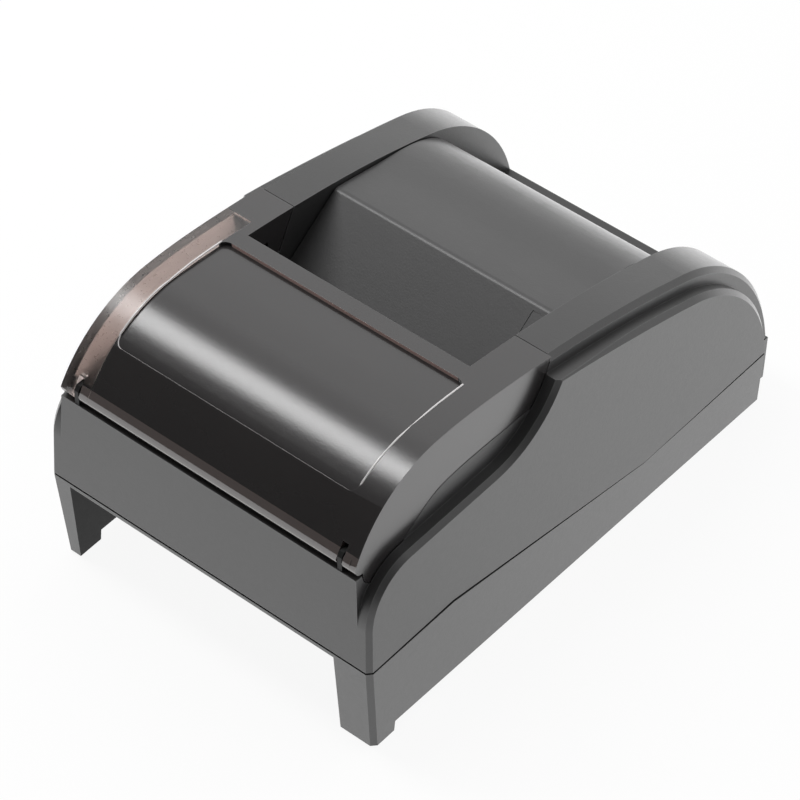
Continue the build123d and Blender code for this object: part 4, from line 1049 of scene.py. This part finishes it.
class PRINTER_OT_electrics(bpy.types.Operator):
    """The board, its parts, the sockets, the switch and the lamps"""

    bl_idname = "printer.electrics"
    bl_label = "Board and sockets"

    def execute(self, context):
        paint_nodes(
            main_board="board",
            button_board="board",
            board_chips="chips",
            feed_switch="socket",
            indicator_lights="lens",
        )
        usb = soft_copy("usb_socket", 0.2 * MM, "steel", "base", "USB_socket")
        low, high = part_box("usb_socket")
        centre = (low + high) / 2
        colour_faces(
            usb,
            "socket",
            lambda middle: abs(middle.x - centre.x) < USB_TONGUE[0]
            and abs(middle.z - centre.z) < USB_TONGUE[1]
            and middle.y > low.y + 1.0 * MM,
        )
        for node, width, finish, body in (
            ("power_jack", 0.2, "socket", "base"),
            ("drawer_socket", 0.2, "socket", "base"),
            ("power_switch", 0.3, "socket", "base"),
            ("power_rocker", 0.3, "button", "rocker"),
            ("feed_button", 0.3, "button", "button"),
        ):
            soft_copy(node, width * MM, finish, body)
        low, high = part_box("drawer_socket")
        first = (low.x + high.x) / 2 - (CONTACTS - 1) / 2 * CONTACT_STEP
        contacts = run_tree(
            row_tree(),
            "Drawer_socket_contacts",
            [(first, high.y - 6 * MM, low.z + 2.4 * MM)],
            {
                "Count": CONTACTS,
                "Step": (CONTACT_STEP, 0.0, 0.0),
                "Bar": (0.45 * MM, 5.0 * MM, 0.4 * MM),
                "Material": finish_of("gold"),
            },
        )
        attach(contacts, "base")
        return {"FINISHED"}


class PRINTER_OT_fasteners(bpy.types.Operator):
    """Cross-head screws and the rubber feet"""

    bl_idname = "printer.fasteners"
    bl_label = "Screws and feet"

    def execute(self, context):
        tree = screw_tree()
        for node, head, tall, shank, over in (
            ("housing_screws", 2.5, 2.0, 1.5, math.pi),
            ("mechanism_screws", 2.3, 1.4, 1.2, 0.0),
            ("board_screws", 2.2, 1.4, 1.0, 0.0),
        ):
            points = []
            depths = []
            for low, high in solids_of(node):
                level = low.z + tall * MM if over else high.z - tall * MM
                points.append(((low.x + high.x) / 2, (low.y + high.y) / 2, level))
                depths.append(high.z - low.z - tall * MM)
            made = run_tree(
                tree,
                node.capitalize(),
                points,
                {
                    "Head radius": head * MM,
                    "Head height": tall * MM,
                    "Shank radius": shank * MM,
                    "Turn over": over,
                    "Material": finish_of("steel"),
                },
                depths,
            )
            smooth_by_angle(made.data, 30)
            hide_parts(node)
            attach(made, "base")
        soft_copy("foot_pads", 0.3 * MM, "rubber", "base")
        return {"FINISHED"}


class PRINTER_OT_studio(bpy.types.Operator):
    """The floor, the lamp, the lit room and the camera"""

    bl_idname = "printer.studio"
    bl_label = "Studio"

    def execute(self, context):
        scene = context.scene
        settings = scene.printer_studio
        bpy.ops.mesh.primitive_plane_add(size=FLOOR_SIZE, location=(0, 0, -0.2 * MM))
        floor = context.object
        floor.name = "Floor"
        levels = (settings.table, settings.table_rear)
        floor.data.materials.append(floor_material(tuple(settings.floor), levels))
        lamp = bpy.data.lights.new("Overhead softbox", "AREA")
        lamp.shape = "RECTANGLE"
        lamp.size, lamp.size_y = LAMP_SIZE
        lamp.energy = settings.top_light
        holder = bpy.data.objects.new("Overhead softbox", lamp)
        scene.collection.objects.link(holder)
        holder.location = LAMP_PLACE
        holder.rotation_euler = (LAMP_AIM - LAMP_PLACE).to_track_quat("-Z", "Y").to_euler()
        lit_room(scene, settings.rear_wall, settings.front_wall, settings.table)
        scene.camera = set_up_camera(scene)
        scene.view_settings.view_transform = "Standard"
        return {"FINISHED"}


def set_up_camera(scene):
    """The camera that took the photograph, as solved from the printer's edges."""
    lens = bpy.data.cameras.new("Camera")
    lens.sensor_width = 36.0
    lens.lens = CAMERA_LENS
    lens.clip_end = 20.0
    camera = bpy.data.objects.new("Camera", lens)
    scene.collection.objects.link(camera)
    turn, rise, roll = (math.radians(angle) for angle in CAMERA_ANGLES)
    ahead = Vector((-math.sin(turn) * math.cos(rise), math.cos(turn) * math.cos(rise), -math.sin(rise)))
    right = Vector((math.cos(turn), math.sin(turn), 0.0))
    up = right.cross(ahead)
    across = math.cos(roll) * right + math.sin(roll) * up
    above = -math.sin(roll) * right + math.cos(roll) * up
    axes = Matrix((across, above, -ahead)).transposed()
    camera.matrix_world = Matrix.Translation(CAMERA_PLACE) @ axes.to_4x4()
    return camera


def floor_material(colour, levels):
    """A pale table that keeps shadows, and is white where it is seen or mirrored."""
    material = bpy.data.materials.new("Studio floor")
    material.use_nodes = True
    tree = material.node_tree
    tree.nodes.clear()
    rays = tree.nodes.new("ShaderNodeLightPath").outputs
    matt = add_node(tree, "ShaderNodeBsdfDiffuse", Color=opaque(colour))
    level = mirrored_level(tree, rays, levels)
    glow = add_node(tree, "ShaderNodeEmission", Color=(1, 1, 1, 1), Strength=level)
    seen = maths(tree, "ADD", rays["Is Camera Ray"], rays["Is Glossy Ray"], clamp=True)
    seen = maths(tree, "ADD", seen, rays["Is Transmission Ray"], clamp=True)
    mix = tree.nodes.new("ShaderNodeMixShader")
    out = tree.nodes.new("ShaderNodeOutputMaterial")
    for value, socket in (
        (maths(tree, "MULTIPLY", seen, FLOOR_GLOW), mix.inputs[0]),
        (matt.outputs[0], mix.inputs[1]),
        (glow.outputs[0], mix.inputs[2]),
        (mix.outputs[0], out.inputs["Surface"]),
    ):
        feed(tree, value, socket)
    return material


def mirrored_level(tree, rays, levels):
    """One for what is seen, and what is mirrored grows brighter from the front to the rear."""
    fade = add_node(
        tree,
        "ShaderNodeMapRange",
        Value=split_axes(tree, object_place(tree))["Y"],
        From_Min=-0.05,
        From_Max=0.35,
        To_Min=levels[0] - 1.0,
        To_Max=levels[1] - 1.0,
    )
    more = maths(tree, "MULTIPLY", rays["Is Glossy Ray"], fade.outputs["Result"])
    return maths(tree, "ADD", more, 1.0)


def lit_room(scene, rear, front, table):
    """A room lit from behind the printer, white where the camera sees it."""
    world = bpy.data.worlds.new("Studio room")
    scene.world = world
    world.use_nodes = True
    tree = world.node_tree
    tree.nodes.clear()
    way = split_axes(tree, tree.nodes.new("ShaderNodeTexCoord").outputs["Generated"])
    fade = add_node(
        tree, "ShaderNodeMapRange", Value=way["Y"], From_Min=-0.05, From_Max=0.5, To_Min=front, To_Max=rear
    )
    fade.interpolation_type = "SMOOTHSTEP"
    below = maths(tree, "LESS_THAN", way["Z"], 0.02)
    level = maths(tree, "MAXIMUM", fade.outputs["Result"], maths(tree, "MULTIPLY", below, table))
    rays = tree.nodes.new("ShaderNodeLightPath").outputs
    seen = maths(tree, "ADD", rays["Is Camera Ray"], rays["Is Transmission Ray"], clamp=True)
    light = blend(tree, seen, level, 1.0, "FLOAT")
    back = add_node(tree, "ShaderNodeBackground", Color=(1, 1, 1, 1), Strength=light)
    out = tree.nodes.new("ShaderNodeOutputWorld")
    feed(tree, back.outputs[0], out.inputs["Surface"])


class PRINTER_PT_panel(bpy.types.Panel):
    """Everything that can be changed, and the buttons that build it"""

    bl_idname = "PRINTER_PT_panel"
    bl_label = "Receipt printer"
    bl_space_type = "VIEW_3D"
    bl_region_type = "UI"
    bl_category = "Receipt printer"

    def draw(self, context):
        for setting in SETTINGS:
            group = getattr(context.scene, setting)
            column = self.layout.column()
            for name in group.__annotations__:
                column.prop(group, name)
        for operator in OPERATORS:
            self.layout.operator(operator.bl_idname)


SETTINGS = {
    "printer_shell": ShellSettings,
    "printer_cover": CoverSettings,
    "printer_mechanism": MechanismSettings,
    "printer_studio": StudioSettings,
}
OPERATORS = (
    PRINTER_OT_housings,
    PRINTER_OT_bin,
    PRINTER_OT_cover,
    PRINTER_OT_mechanism,
    PRINTER_OT_electrics,
    PRINTER_OT_fasteners,
    PRINTER_OT_studio,
)


def register():
    """Register the settings, the operators and the panel."""
    for kind in (*SETTINGS.values(), *OPERATORS, PRINTER_PT_panel):
        bpy.utils.register_class(kind)
    for name, kind in SETTINGS.items():
        setattr(bpy.types.Scene, name, bpy.props.PointerProperty(type=kind))


def unregister():
    """Take everything off again."""
    for name in SETTINGS:
        delattr(bpy.types.Scene, name)
    for kind in reversed((*SETTINGS.values(), *OPERATORS, PRINTER_PT_panel)):
        bpy.utils.unregister_class(kind)


def main():
    """Build every piece in order."""
    register()
    bpy.ops.printer.housings()
    bpy.ops.printer.bin()
    bpy.ops.printer.cover()
    bpy.ops.printer.mechanism()
    bpy.ops.printer.electrics()
    bpy.ops.printer.fasteners()
    bpy.ops.printer.studio()


if __name__ == "__main__":
    main()
